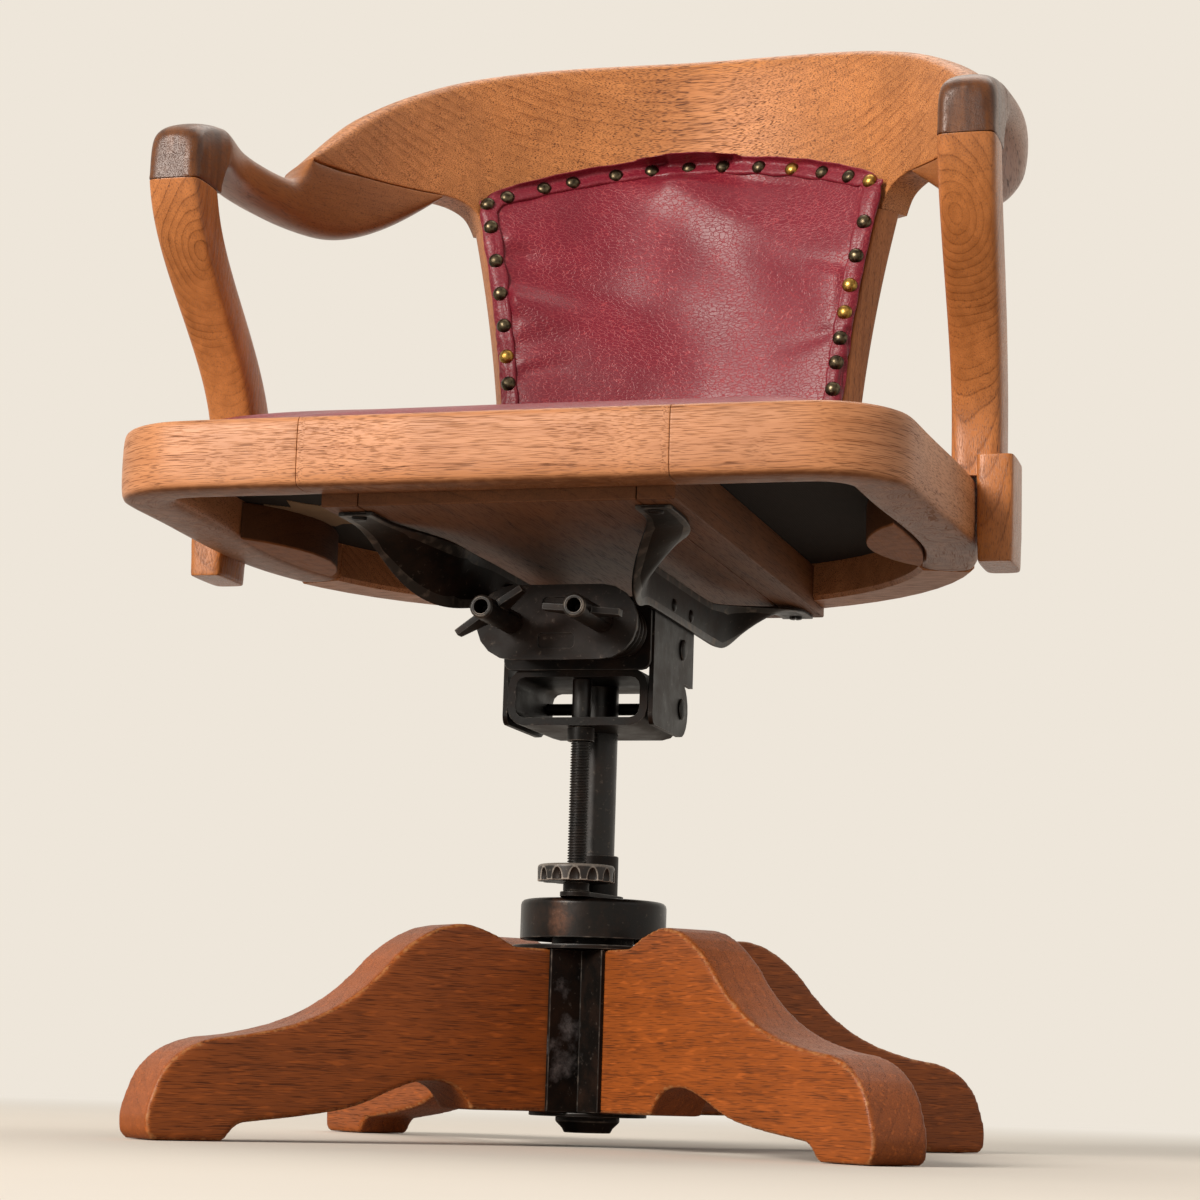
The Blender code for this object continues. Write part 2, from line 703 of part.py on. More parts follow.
def build_swivel_head():
    """Drum over the bearing, sleeve for the post, and the socket that the lift screw stands in."""
    inner = DRUM_RADIUS - DRUM_WALL
    hole = SLEEVE_RADIUS + GAP
    rim = DRUM_RADIUS - DRUM_SHOULDER
    shoulder = arc((rim, DRUM_TOP - DRUM_SHOULDER), DRUM_SHOULDER, 90, 0, 4)
    profile = [(hole, DRUM_TOP)] + shoulder
    profile += [(DRUM_RADIUS, DRUM_BOTTOM), (inner, DRUM_BOTTOM)]
    profile += [(inner, DRUM_TOP - DRUM_WALL), (hole, DRUM_TOP - DRUM_WALL)]
    new_piece("swivel_cap", turned_mesh("swivel_cap", profile, True, 32), STEEL, swivel)

    profile = tube_profile(SLEEVE_RADIUS, POST_RADIUS + RUN, SLEEVE_FOOT, DRUM_TOP + SLEEVE_RISE)
    new_piece("post_sleeve", turned_mesh("post_sleeve", profile, True), STEEL, swivel)

    tube_radius = SCREW_RADIUS + RUN + REST_TUBE_WALL
    outline = link_outline(SLEEVE_RADIUS + SOCKET_MARGIN, tube_radius + SOCKET_MARGIN / 2, SCREW_OFFSET)
    holes = [
        circle((0, 0), SLEEVE_RADIUS + GAP, 24),
        circle((0, -SCREW_OFFSET), SCREW_RADIUS + RUN, 20),
    ]
    mesh = sheet_mesh("screw_socket", [outline] + holes, SOCKET_PLATE)
    new_piece("screw_socket", mesh, STEEL, swivel, flat_on(SOCKET_TOP - SOCKET_PLATE / 2))

    profile = tube_profile(tube_radius, SCREW_RADIUS + RUN, 0, REST_TUBE_HEIGHT)
    place = Matrix.Translation((0, -SCREW_OFFSET, SOCKET_TOP + GAP))
    new_piece("screw_rest_tube", turned_mesh("screw_rest_tube", profile, True, 20), STEEL, swivel, place)


def build_handwheel():
    """Disc with finger scallops round its rim, and the lift screw that turns with it."""
    outline = []
    points = WHEEL_SCALLOPS * WHEEL_SCALLOP_POINTS
    for i in range(points):
        turn = 2 * math.pi * i / points
        dip = abs(math.cos(WHEEL_SCALLOPS * turn / 2))
        radius = WHEEL_RADIUS - WHEEL_SCALLOP_DEPTH * dip**4
        outline.append((radius * math.cos(turn), radius * math.sin(turn)))
    hole = circle((0, 0), SCREW_RADIUS + GAP, 24)
    mesh = sheet_mesh("height_handwheel", [outline, hole], WHEEL_HEIGHT)
    place = Matrix.Translation((0, -SCREW_OFFSET, WHEEL_BOTTOM + WHEEL_HEIGHT / 2))
    new_piece("height_handwheel", mesh, WORN_STEEL, handwheel, place)

    foot = DRUM_TOP + GAP
    length = YOKE_TOP - YOKE_STRAP - GAP - foot
    place = Matrix.Translation((0, -SCREW_OFFSET, foot + length / 2))
    new_piece("height_screw", rod_mesh("height_screw", SCREW_RADIUS, length, 20), STEEL, handwheel, place)


def build_column():
    """Post that slides in the sleeve, and the nut that climbs the lift screw."""
    top = YOKE_TOP - YOKE_STRAP - GAP
    length = top - POST_FOOT
    place = Matrix.Translation((0, 0, POST_FOOT + length / 2))
    new_piece("column_post", rod_mesh("column_post", POST_RADIUS, length), STEEL, column, place)

    top = YOKE_BOTTOM - GAP
    profile = tube_profile(SCREW_NUT_RADIUS, SCREW_RADIUS + RUN, top - SCREW_NUT_HEIGHT, top)
    place = Matrix.Translation((0, -SCREW_OFFSET, 0))
    new_piece("screw_nut", turned_mesh("screw_nut", profile, True, 20), STEEL, column, place)


def build_yoke():
    outer = rounded_box(-YOKE_HALF_WIDTH, YOKE_HALF_WIDTH, YOKE_BOTTOM, YOKE_TOP, YOKE_CORNER)
    half = YOKE_HALF_WIDTH - YOKE_STRAP
    bottom = YOKE_BOTTOM + YOKE_STRAP
    top = YOKE_TOP - YOKE_STRAP
    window = rounded_box(-half, half, bottom, top, YOKE_CORNER - YOKE_STRAP)
    mesh = sheet_mesh("yoke_loop", [outer, window], YOKE_REAR - YOKE_FRONT)
    middle = (YOKE_FRONT + YOKE_REAR) / 2
    yoke = new_piece("yoke_loop", mesh, STEEL, column, front_on(middle))
    drill = 4 * YOKE_STRAP
    post_hole = new_cutter(
        "post_hole",
        rod_mesh("post_hole", POST_RADIUS + GAP, drill),
        Matrix.Translation((0, 0, YOKE_BOTTOM)),
    )
    screw_hole = new_cutter(
        "screw_hole",
        rod_mesh("screw_hole", SCREW_RADIUS + RUN, drill, 20),
        Matrix.Translation((0, -SCREW_OFFSET, YOKE_BOTTOM)),
    )
    axle_hole = new_cutter(
        "axle_hole",
        rod_mesh("axle_hole", AXLE_RADIUS + RUN, 3 * CHEEK_OUTER, 16),
        Matrix.Translation((0, AXLE_Y, AXLE_Z)) @ ALONG_X,
    )
    cut(yoke, post_hole, screw_hole, axle_hole)
    return axle_hole


def headed_pin(name, radius, group, height):
    """Pin from cheek to cheek with a riveted head outside each."""
    end = CHEEK_OUTER + GAP
    profile = [
        (0, end + PIN_HEAD),
        (PIN_HEAD_RADIUS * 0.6, end + PIN_HEAD),
        (PIN_HEAD_RADIUS, end + PIN_HEAD * 0.35),
        (PIN_HEAD_RADIUS, end),
        (radius, end),
    ]
    profile += [(r, -z) for r, z in reversed(profile)]
    place = Matrix.Translation((0, AXLE_Y, height)) @ ALONG_X
    new_piece(name, turned_mesh(name, profile, False, 16), STEEL, group, place)


def spring_points():
    """Centre line of a spring along Y, as a plain helix between its two plates."""
    rear = SPRING_REAR - SPRING_WIRE
    front = SPRING_FRONT + SPRING_WIRE
    count = SPRING_CURLS * POINTS_PER_CURL + 1
    points = []
    for i in range(count):
        share = i / (count - 1)
        turn = 2 * math.pi * SPRING_CURLS * share
        x = SPRING_RADIUS * math.cos(turn)
        z = SPRING_RADIUS * math.sin(turn)
        points.append(Vector((x, blend(front, rear, share), z)))
    return points


def least_spring_gap(points):
    """Least clear distance between one curl and the next."""
    apart = POINTS_PER_CURL // 2
    least = min(
        (a - b).length for i, a in enumerate(points) for b in points[i + apart :]
    )
    return least - 2 * SPRING_WIRE


def spring_mesh(name, points):
    curve = bpy.data.curves.new(name, "CURVE")
    curve.dimensions = "3D"
    curve.bevel_depth = SPRING_WIRE
    curve.bevel_resolution = 1
    curve.use_fill_caps = True
    spline = curve.splines.new("POLY")
    spline.points.add(len(points) - 1)
    for knot, point in zip(spline.points, points):
        knot.co = (*point, 1)
    mesh = curve_to_mesh(curve, name)
    mesh.shade_smooth()
    return mesh


def build_springs():
    hole = ROD_RADIUS + ROD_SLACK
    centres = [(-SPRING_SPREAD, SPRING_Z), (SPRING_SPREAD, SPRING_Z)]
    reach = CHEEK_INNER - RUN
    rise = SPRING_PLATE_HEIGHT / 2
    outline = rounded_box(-reach, reach, SPRING_Z - rise, SPRING_Z + rise, SPRING_SEAT_CORNER)
    holes = [circle(centre, hole) for centre in centres]
    mesh = sheet_mesh("spring_seat_plate", [outline] + holes, SPRING_PLATE)
    new_piece("spring_seat_plate", mesh, STEEL, column, front_on(SPRING_SEAT_REAR - SPRING_PLATE / 2))

    points = spring_points()
    print(f"least gap between spring curls: {least_spring_gap(points) * 1000:.2f} mm")
    for side, sign in SIDES:
        name = "tilt_spring_" + side
        place = Matrix.Translation((sign * SPRING_SPREAD, 0, SPRING_Z))
        new_piece(name, spring_mesh(name, points), SPRING_STEEL, column, place)

    outline = stadium((0, SPRING_Z), SPRING_CAP_HALF_WIDTH, SPRING_PLATE_HEIGHT)
    holes = [circle(centre, ROD_RADIUS + RUN) for centre in centres]
    mesh = sheet_mesh("spring_cap_plate", [outline] + holes, SPRING_PLATE)
    cap = new_piece("spring_cap_plate", mesh, STEEL, spring_cap, front_on(CAP_FRONT + SPRING_PLATE / 2))
    for index, (half, low, high) in enumerate(CAP_FIELDS_SHARES):
        name = f"cap_pressing_{index}"
        left, right, bottom, top = (SPRING_PLATE_HEIGHT * share for share in (-half, half, low, high))
        pressing = rounded_box(left, right, SPRING_Z + bottom, SPRING_Z + top, CAP_FIELD_CORNER)
        mesh = sheet_mesh(name, [pressing], 2 * SPRING_CAP_PRESSING)
        cut(cap, new_cutter(name, mesh, front_on(CAP_FRONT)))


def tension_rod_mesh(name, eye_x):
    """Rod with a flat eye at its rear end, joined into one body. Its length is along Y."""
    inner = AXLE_RADIUS + RUN
    outer = inner + ROD_EYE_WALL
    eye = sheet_mesh(name, [circle((0, 0), outer, 24), circle((0, 0), inner, 20)], ROD_EYE_WIDTH)
    eye_piece = new_cutter(name + "_eye", eye, facing((0, 1, 0), (0, 0, 1), (eye_x, AXLE_Y, SPRING_Z)))
    front = CAP_FRONT - NUT_LENGTH * 0.75
    rear = AXLE_Y - inner - ROD_EYE_WALL / 2
    bar = rod_mesh(name + "_bar", ROD_RADIUS, rear - front, 16)
    place = Matrix.Translation((eye_x, (front + rear) / 2, SPRING_Z)) @ ALONG_FRONT
    bar_piece = new_cutter(name + "_bar", bar, place)
    union = bar_piece.modifiers.new("eye", "BOOLEAN")
    union.operation = "UNION"
    union.solver = "EXACT"
    union.object = eye_piece
    bpy.context.view_layer.update()
    graph = bpy.context.evaluated_depsgraph_get()
    mesh = bpy.data.meshes.new_from_object(bar_piece.evaluated_get(graph))
    mesh.transform(place)
    bpy.data.objects.remove(bar_piece, do_unlink=True)
    bpy.data.objects.remove(eye_piece, do_unlink=True)
    mesh.name = name
    return mesh


def wing_nut_mesh(name):
    """Long tubular nut with two swept wings. Its axis is local Z, and the wings lie along X."""
    bore = ROD_RADIUS + RUN
    profile = tube_profile(NUT_RADIUS, bore, 0, NUT_LENGTH)
    profile[0:1] = [(NUT_RADIUS - NUT_CHAMFER, NUT_LENGTH), (NUT_RADIUS, NUT_LENGTH - NUT_CHAMFER)]
    tube = new_cutter(name + "_tube", turned_mesh(name, profile, True, 20))
    start = NUT_WING_START
    tip = start + NUT_WING_SWEEP
    root = bore + NUT_WING_BITE
    for sign in (-1, 1):
        outline = [
            (sign * root, start),
            (sign * NUT_WING_REACH, tip),
            (sign * NUT_WING_REACH, tip + NUT_WING_HEIGHT),
            (sign * root, start + NUT_WING_ROOT),
        ]
        wing_name = f"{name}_wing_{sign}"
        mesh = sheet_mesh(wing_name, [outline], NUT_WING_THICKNESS)
        wing = new_cutter(wing_name, mesh, facing((1, 0, 0), (0, 0, 1), (0, 0, 0)))
        union = tube.modifiers.new("wing", "BOOLEAN")
        union.operation = "UNION"
        union.solver = "EXACT"
        union.object = wing
    bpy.context.view_layer.update()
    graph = bpy.context.evaluated_depsgraph_get()
    mesh = bpy.data.meshes.new_from_object(tube.evaluated_get(graph))
    for obj in [o for o in CUTTERS.objects if o.name.startswith(name + "_")]:
        bpy.data.objects.remove(obj, do_unlink=True)
    mesh.name = name
    return mesh


NUT_TILT = {"left": math.radians(34), "right": math.radians(-5)}


def build_rods_and_nuts():
    for side, sign in SIDES:
        x = sign * SPRING_SPREAD
        name = "tension_rod_" + side
        new_piece(name, tension_rod_mesh(name, x), STEEL, rods)
        nut_axis = pivot("wing_nut_axis_" + side, (x, CAP_FRONT, SPRING_Z), spring_cap)
        name = "wing_nut_" + side
        place = Matrix.Translation((x, CAP_FRONT - GAP, SPRING_Z)) @ ALONG_FRONT
        place = place @ Matrix.Rotation(NUT_TILT[side], 4, "Z")
        new_piece(name, wing_nut_mesh(name), STEEL, nut_axis, place)


def build_cheeks(axle_hole):
    ear = arc((AXLE_Y, AXLE_Z), CHEEK_EAR, -90, 66, 10)
    notch = (ear[-1][0], CHEEK_STEP)
    bottom = AXLE_Z - CHEEK_EAR
    shoulder = CHEEK_TOP - CHEEK_CORNER
    outline = [(CHEEK_FRONT + CHEEK_TOE, bottom)] + ear + [notch, (CHEEK_REAR, CHEEK_STEP)]
    outline += arc((CHEEK_REAR - CHEEK_CORNER, shoulder), CHEEK_CORNER, 0, 90, 4)
    outline += arc((CHEEK_FRONT + CHEEK_CORNER, shoulder), CHEEK_CORNER, 90, 180, 4)
    outline += arc((CHEEK_FRONT + CHEEK_TOE, bottom + CHEEK_TOE), CHEEK_TOE, 180, 260, 4)
    pin_hole = new_cutter(
        "pin_hole",
        rod_mesh("pin_hole", AXLE_RADIUS + GAP, 3 * CHEEK_OUTER, 16),
        Matrix.Translation((0, AXLE_Y, SPRING_Z)) @ ALONG_X,
    )
    for side, sign in SIDES:
        name = "tilt_cheek_" + side
        mesh = sheet_mesh(name, [outline], CHEEK_THICKNESS)
        middle = sign * (CHEEK_INNER + CHEEK_THICKNESS / 2)
        cheek = new_piece(name, mesh, STEEL, seat, side_on(middle))
        cut(cheek, axle_hole, pin_hole)


def bracket_station(y):
    """Centre, lean and width of a bracket's strip at a place along its length.

    The strip stands upright beside the cheek, twists outwards to a flat tab at each end, and is widest in
    the twist.
    """
    if y < BRACKET_MID_FRONT:
        share = (y - BRACKET_MID_FRONT) / (BRACKET_FRONT_TAB_Y + BRACKET_TAB / 2 - BRACKET_MID_FRONT)
    elif y > BRACKET_MID_REAR:
        share = (y - BRACKET_MID_REAR) / (BRACKET_REAR_TAB_Y - BRACKET_TAB / 2 - BRACKET_MID_REAR)
    else:
        share = 0
    flare = BRACKET_FRONT_FLARE if y < 0 else BRACKET_REAR_FLARE
    twist = smooth_step(share)
    lean = math.radians(90) * (1 - twist)
    width = blend(BRACKET_HEIGHT, BRACKET_TAB, twist) + flare * math.sin(math.pi * twist)
    x = blend(CHEEK_OUTER + GAP + BRACKET_THICKNESS / 2, BRACKET_TAB_X, twist)
    top = blend(BRACKET_BOTTOM + BRACKET_HEIGHT, BOARD_BOTTOM - GAP, twist)
    z = top - width / 2 * math.sin(lean) - BRACKET_THICKNESS / 2 * math.cos(lean)
    return Vector((x, y, z)), lean, width


def build_brackets():
    """Twisted brackets, both bent with the same hand."""
    front = BRACKET_FRONT_TAB_Y - BRACKET_TAB / 2
    rear = BRACKET_REAR_TAB_Y + BRACKET_TAB / 2
    stations = [blend(front, BRACKET_FRONT_TAB_Y + BRACKET_TAB / 2, i / 2) for i in range(3)]
    stations += [blend(stations[-1], BRACKET_MID_FRONT, i / 12) for i in range(1, 13)]
    stations += [blend(BRACKET_MID_FRONT, BRACKET_MID_REAR, i / 2) for i in range(1, 3)]
    tab_start = BRACKET_REAR_TAB_Y - BRACKET_TAB / 2
    stations += [blend(BRACKET_MID_REAR, tab_start, i / 8) for i in range(1, 9)]
    stations += [blend(tab_start, rear, i / 2) for i in range(1, 3)]
    for side, sign in SIDES:
        rings = []
        for y in stations:
            centre, lean, width = bracket_station(y)
            centre.x *= sign
            along = Vector((math.cos(lean), 0, math.sin(lean)))
            thick = Vector((-math.sin(lean), 0, math.cos(lean)))
            ring = []
            for u, v in ((-1, -1), (1, -1), (1, 1), (-1, 1)):
                ring.append(centre + along * (u * width / 2) + thick * (v * BRACKET_THICKNESS / 2))
            rings.append(ring)
        name = "seat_bracket_" + side
        new_piece(name, loft_mesh(name, rings, twisted=True), STEEL, seat)


def board_front():
    return SEAT_FRONT + SEAT_FRONT_RAIL + GAP


def build_board():
    front = board_front()
    strip_inner = BOARD_HALF_WIDTH - BOARD_STRIP
    spans = {
        "mounting_board": (-strip_inner, strip_inner),
        "board_strip_left": (-BOARD_HALF_WIDTH, -strip_inner - GAP),
        "board_strip_right": (strip_inner + GAP, BOARD_HALF_WIDTH),
    }
    for name, (left, right) in spans.items():
        outline = [(left, front), (right, front), (right, BOARD_REAR), (left, BOARD_REAR)]
        mesh = sheet_mesh(name, [outline], BOARD_THICKNESS)
        new_piece(name, mesh, OAK_RAW, seat, flat_on(BOARD_BOTTOM + BOARD_THICKNESS / 2))


def seat_edge():
    """Right half of the seat's outer edge, from front centre to back centre."""
    turn = SEAT_FRONT + SEAT_CORNER
    straight = SEAT_FRONT_HALF_WIDTH - SEAT_CORNER
    points = [(straight * i / 4, SEAT_FRONT) for i in range(4)]
    points += arc((straight, turn), SEAT_CORNER, -90, 0, 7)
    side = SEAT_BACK_CENTRE - turn
    for i in range(1, 5):
        x = blend(SEAT_FRONT_HALF_WIDTH, SEAT_HALF_WIDTH, smooth_step(i / 4))
        points.append((x, turn + side * i / 4))
    count = 16
    for i in range(1, count + 1):
        share = math.sin(math.pi / 2 * i / count)
        x = SEAT_HALF_WIDTH * (1 - share**SEAT_BACK_POWER) ** (1 / SEAT_BACK_POWER)
        points.append((x, SEAT_BACK_CENTRE + SEAT_BACK_DEPTH * share))
    return points


def seat_inner_edge(extra=0.0):
    """Right half of the opening in the seat ring, drawn in further by a margin."""
    outer = seat_edge()
    inner = []
    for i, (x, y) in enumerate(outer):
        before = Vector(outer[max(i - 1, 0)])
        after = Vector(outer[min(i + 1, len(outer) - 1)])
        along = (after - before).normalized()
        width = blend(SEAT_FRONT_RAIL, SEAT_RAIL, smooth_step((y - SEAT_FRONT) / SEAT_CORNER))
        width += extra
        inner.append((x - along.y * width, y + along.x * width))
    inner[0] = (0, inner[0][1])
    inner[-1] = (0, inner[-1][1])
    return inner


def mirrored(points):
    return [(-x, y) for x, y in points]


def closed_outline(half):
    """Whole outline from its right half."""
    return half + list(reversed(mirrored(half[1:-1])))


def split_at(stations, axis, value):
    """Splits a run of (outer, inner) stations square across, where its outer edge passes an x or a y."""
    for i, (a, b) in enumerate(zip(stations, stations[1:])):
        low = a[0][axis]
        high = b[0][axis]
        if low < value <= high:
            share = (value - low) / (high - low)
            ends = [Vector(p).lerp(Vector(q), share) for p, q in zip(a, b)]
            return stations[: i + 1] + [ends], [ends] + stations[i + 1 :]
    raise ValueError("the edge does not reach that far")


def build_seat_ring():
    """Four rails with eased edges, butted into a ring."""
    half = [list(pair) for pair in zip(seat_edge(), seat_inner_edge())]
    front_half = split_at(half, 0, FRONT_JOINT_X - GAP / 2)[0]
    side = split_at(half, 0, FRONT_JOINT_X + GAP / 2)[1]
    side = split_at(side, 1, BACK_JOINT_Y - GAP / 2)[0]
    back_half = split_at(half, 1, BACK_JOINT_Y + GAP / 2)[1]

    def rail_mesh(name, stations):
        rings = []
        for outer, inner in stations:
            out = Vector((outer[0], outer[1], SEAT_BOTTOM))
            across = Vector((inner[0], inner[1], SEAT_BOTTOM)) - out
            width = across.length
            section = wood_section(0, width, 0, SEAT_THICKNESS, SEAT_LOW_EASE, SEAT_EASE, 3)
            rings.append([out + across * (o / width) + Vector((0, 0, z)) for o, z in section])
        return loft_mesh(name, rings)

    def other_side(stations):
        return [[(-p[0], p[1]) for p in pair] for pair in stations]

    whole = list(reversed(other_side(front_half[1:]))) + front_half
    new_piece("seat_front_rail", rail_mesh("seat_front_rail", whole), OAK, seat)
    for name, sign in SIDES:
        stations = side if sign > 0 else other_side(side)
        name = "seat_side_rail_" + name
        new_piece(name, rail_mesh(name, stations), OAK, seat)
    whole = back_half + list(reversed(other_side(back_half[:-1])))
    rail = new_piece("seat_back_rail", rail_mesh("seat_back_rail", whole), OAK, seat)
    reach = BOARD_HALF_WIDTH + GAP
    depth = BOARD_TOP + GAP - SEAT_BOTTOM
    outline = [(-reach, 0), (reach, 0), (reach, BOARD_REAR + GAP), (-reach, BOARD_REAR + GAP)]
    mesh = sheet_mesh("board_notch", [outline], 2 * depth)
    cut(rail, new_cutter("board_notch", mesh, flat_on(SEAT_BOTTOM)))


def edge_at(edge, y):
    """Point at a Y on an edge that runs from front to back."""
    for a, b in zip(edge, edge[1:]):
        if a[1] < y <= b[1]:
            return (blend(a[0], b[0], (y - a[1]) / (b[1] - a[1])), y)
    raise ValueError("the edge does not reach that far")


def build_post_blocks():
    """Leaf-shaped glue blocks inside the ring, behind the arm posts."""
    inner = seat_inner_edge(GAP)
    start = edge_at(inner, POST_BLOCK_FRONT)
    end = edge_at(inner, POST_BLOCK_REAR)
    edge = [start] + [p for p in inner if POST_BLOCK_FRONT < p[1] < POST_BLOCK_REAR] + [end]
    count = 10
    leaf = []
    for i in range(1, count):
        share = i / count
        swell = math.sin(math.pi * share) ** 0.8
        y = blend(end[1], start[1], share)
        x = blend(end[0], start[0], share) - POST_BLOCK_DEPTH * swell
        leaf.append((x, y))
    bottom = SEAT_BOTTOM + GAP
    height = BOARD_TOP - bottom
    place = flat_on(bottom + height / 2)
    for side, sign in SIDES:
        outline = edge + leaf
        outline = outline if sign > 0 else mirrored(outline)
        name = "post_block_" + side
        new_piece(name, sheet_mesh(name, [outline], height), OAK_RAW, seat, place)


def build_seat_pad():
    outline = closed_outline(seat_inner_edge(PAD_MARGIN))
    bottom = BOARD_TOP + GAP
    place = flat_on(bottom + PLATFORM_THICKNESS / 2)
    new_piece("seat_platform", sheet_mesh("seat_platform", [outline], PLATFORM_THICKNESS), CLOTH, seat, place)

    low = bottom + PLATFORM_THICKNESS + GAP
    edge_top = SEAT_TOP + PAD_EDGE
    middle = Vector((0, (SEAT_FRONT + SEAT_BACK) / 2))
    rings = [
        (1 - PAD_TUCK, low),
        (1, low + PAD_ROUND),
        (1, SEAT_TOP - PAD_ROUND),
        (1 - 0.4 * PAD_TUCK, SEAT_TOP + PAD_ROUND),
    ]
    for share in (0.94, 0.86, 0.74, 0.58, 0.40, 0.20):
        rise = PAD_CROWN - PAD_EDGE
        rings.append((share, edge_top + rise * (1 - share**2.2) - PAD_EDGE * 0.55 * share**12))
    loops = []
    for share, height in rings:
        loop = []
        for x, y in outline:
            flat = middle + (Vector((x, y)) - middle) * share
            loop.append(Vector((flat.x, flat.y, height)))
        loops.append(loop)
    new_piece("seat_pad", loft_mesh("seat_pad", loops), LEATHER, seat)


def arm_post_at(z):
    """Inner and outer X, and front and back Y, of an arm post at a height."""
    bend = smooth_step((z - ARM_POST_BEND_LOW) / (ARM_POST_BEND_HIGH - ARM_POST_BEND_LOW))
    inner = ARM_POST_INNER + ARM_POST_FLARE_IN * bend
    outer = ARM_POST_OUTER + ARM_POST_FLARE_OUT * bend
    front = ARM_POST_FRONT - ARM_POST_SWEEP * bend
    swell = ARM_POST_SWELL * math.sin(math.pi * bend)
    return inner, outer, front, front + ARM_POST_DEPTH + swell


def build_arm_posts():
    """S-shaped posts whose feet stand on the side rails and lap down outside them."""
    foot = SEAT_TOP + GAP
    heights = [foot] + [blend(LAP_TOP, ARM_POST_TOP, i / 11) for i in range(12)]
    lap_inner = SEAT_HALF_WIDTH + GAP
    lap_front = ARM_POST_FRONT - LAP_OVERHANG
    lap_rear = ARM_POST_FRONT + ARM_POST_DEPTH + LAP_OVERHANG
    lap = rounded_box(lap_inner, LAP_OUTER, lap_front, lap_rear, LAP_EDGE, 3)
    lap_bottom = SEAT_BOTTOM - LAP_DROP
    for side, sign in SIDES:
        rings = []
        for z in heights:
            inner, outer, front, rear = arm_post_at(z)
            section = rounded_box(inner, outer, front, rear, ARM_POST_EDGE, 3)
            rings.append([Vector((sign * x, y, z)) for x, y in section])
        name = "arm_post_" + side
        shaft = new_cutter(name + "_shaft", loft_mesh(name, rings))
        outline = lap if sign > 0 else mirrored(lap)
        block_mesh = sheet_mesh(name + "_lap", [outline], LAP_TOP - lap_bottom)
        block = new_cutter(name + "_lap", block_mesh, flat_on((LAP_TOP + lap_bottom) / 2))
        union = shaft.modifiers.new("lap", "BOOLEAN")
        union.operation = "UNION"
        union.solver = "EXACT"
        union.object = block
        bpy.context.view_layer.update()
        graph = bpy.context.evaluated_depsgraph_get()
        mesh = bpy.data.meshes.new_from_object(shaft.evaluated_get(graph))
        bpy.data.objects.remove(shaft, do_unlink=True)
        bpy.data.objects.remove(block, do_unlink=True)
        mesh.name = name
        mesh.set_sharp_from_angle(angle=math.radians(40))
        new_piece(name, mesh, OAK, seat)


def bow_point(angle, offset):
    """Point on the bow in plan, at degrees from the back and an offset outwards from its inner face."""
    turn = math.radians(angle)
    foot = Vector((BOW_INNER_X * math.sin(turn), BOW_CENTRE_Y + BOW_INNER_Y * math.cos(turn)))
    out = Vector((math.sin(turn) / BOW_INNER_X, math.cos(turn) / BOW_INNER_Y)).normalized()
    return foot + out * offset


def crest_top_at(angle):
    """Height of the crest rail's top edge, falling away from the middle to the scarf."""
    return CREST_TOP - CREST_FALL * (abs(angle) / SCARF_ANGLE) ** CREST_FALL_POWER


def arm_front(y):
    """Inner face of an arm in front of the bow: straight over the post, then drawn out to the bow."""
    inner, outer, front, rear = arm_post_at(ARM_POST_TOP)
    return blend(inner, BOW_INNER_X, smooth_step((y - rear) / (BOW_CENTRE_Y - rear)))


def knuckle_inset(depth):
    """How far the knuckle's sides are rounded in, at a depth behind its front."""
    share = min(depth / ARM_POST_EDGE, 1)
    return ARM_POST_EDGE * (1 - math.sqrt(1 - (1 - share) ** 2))


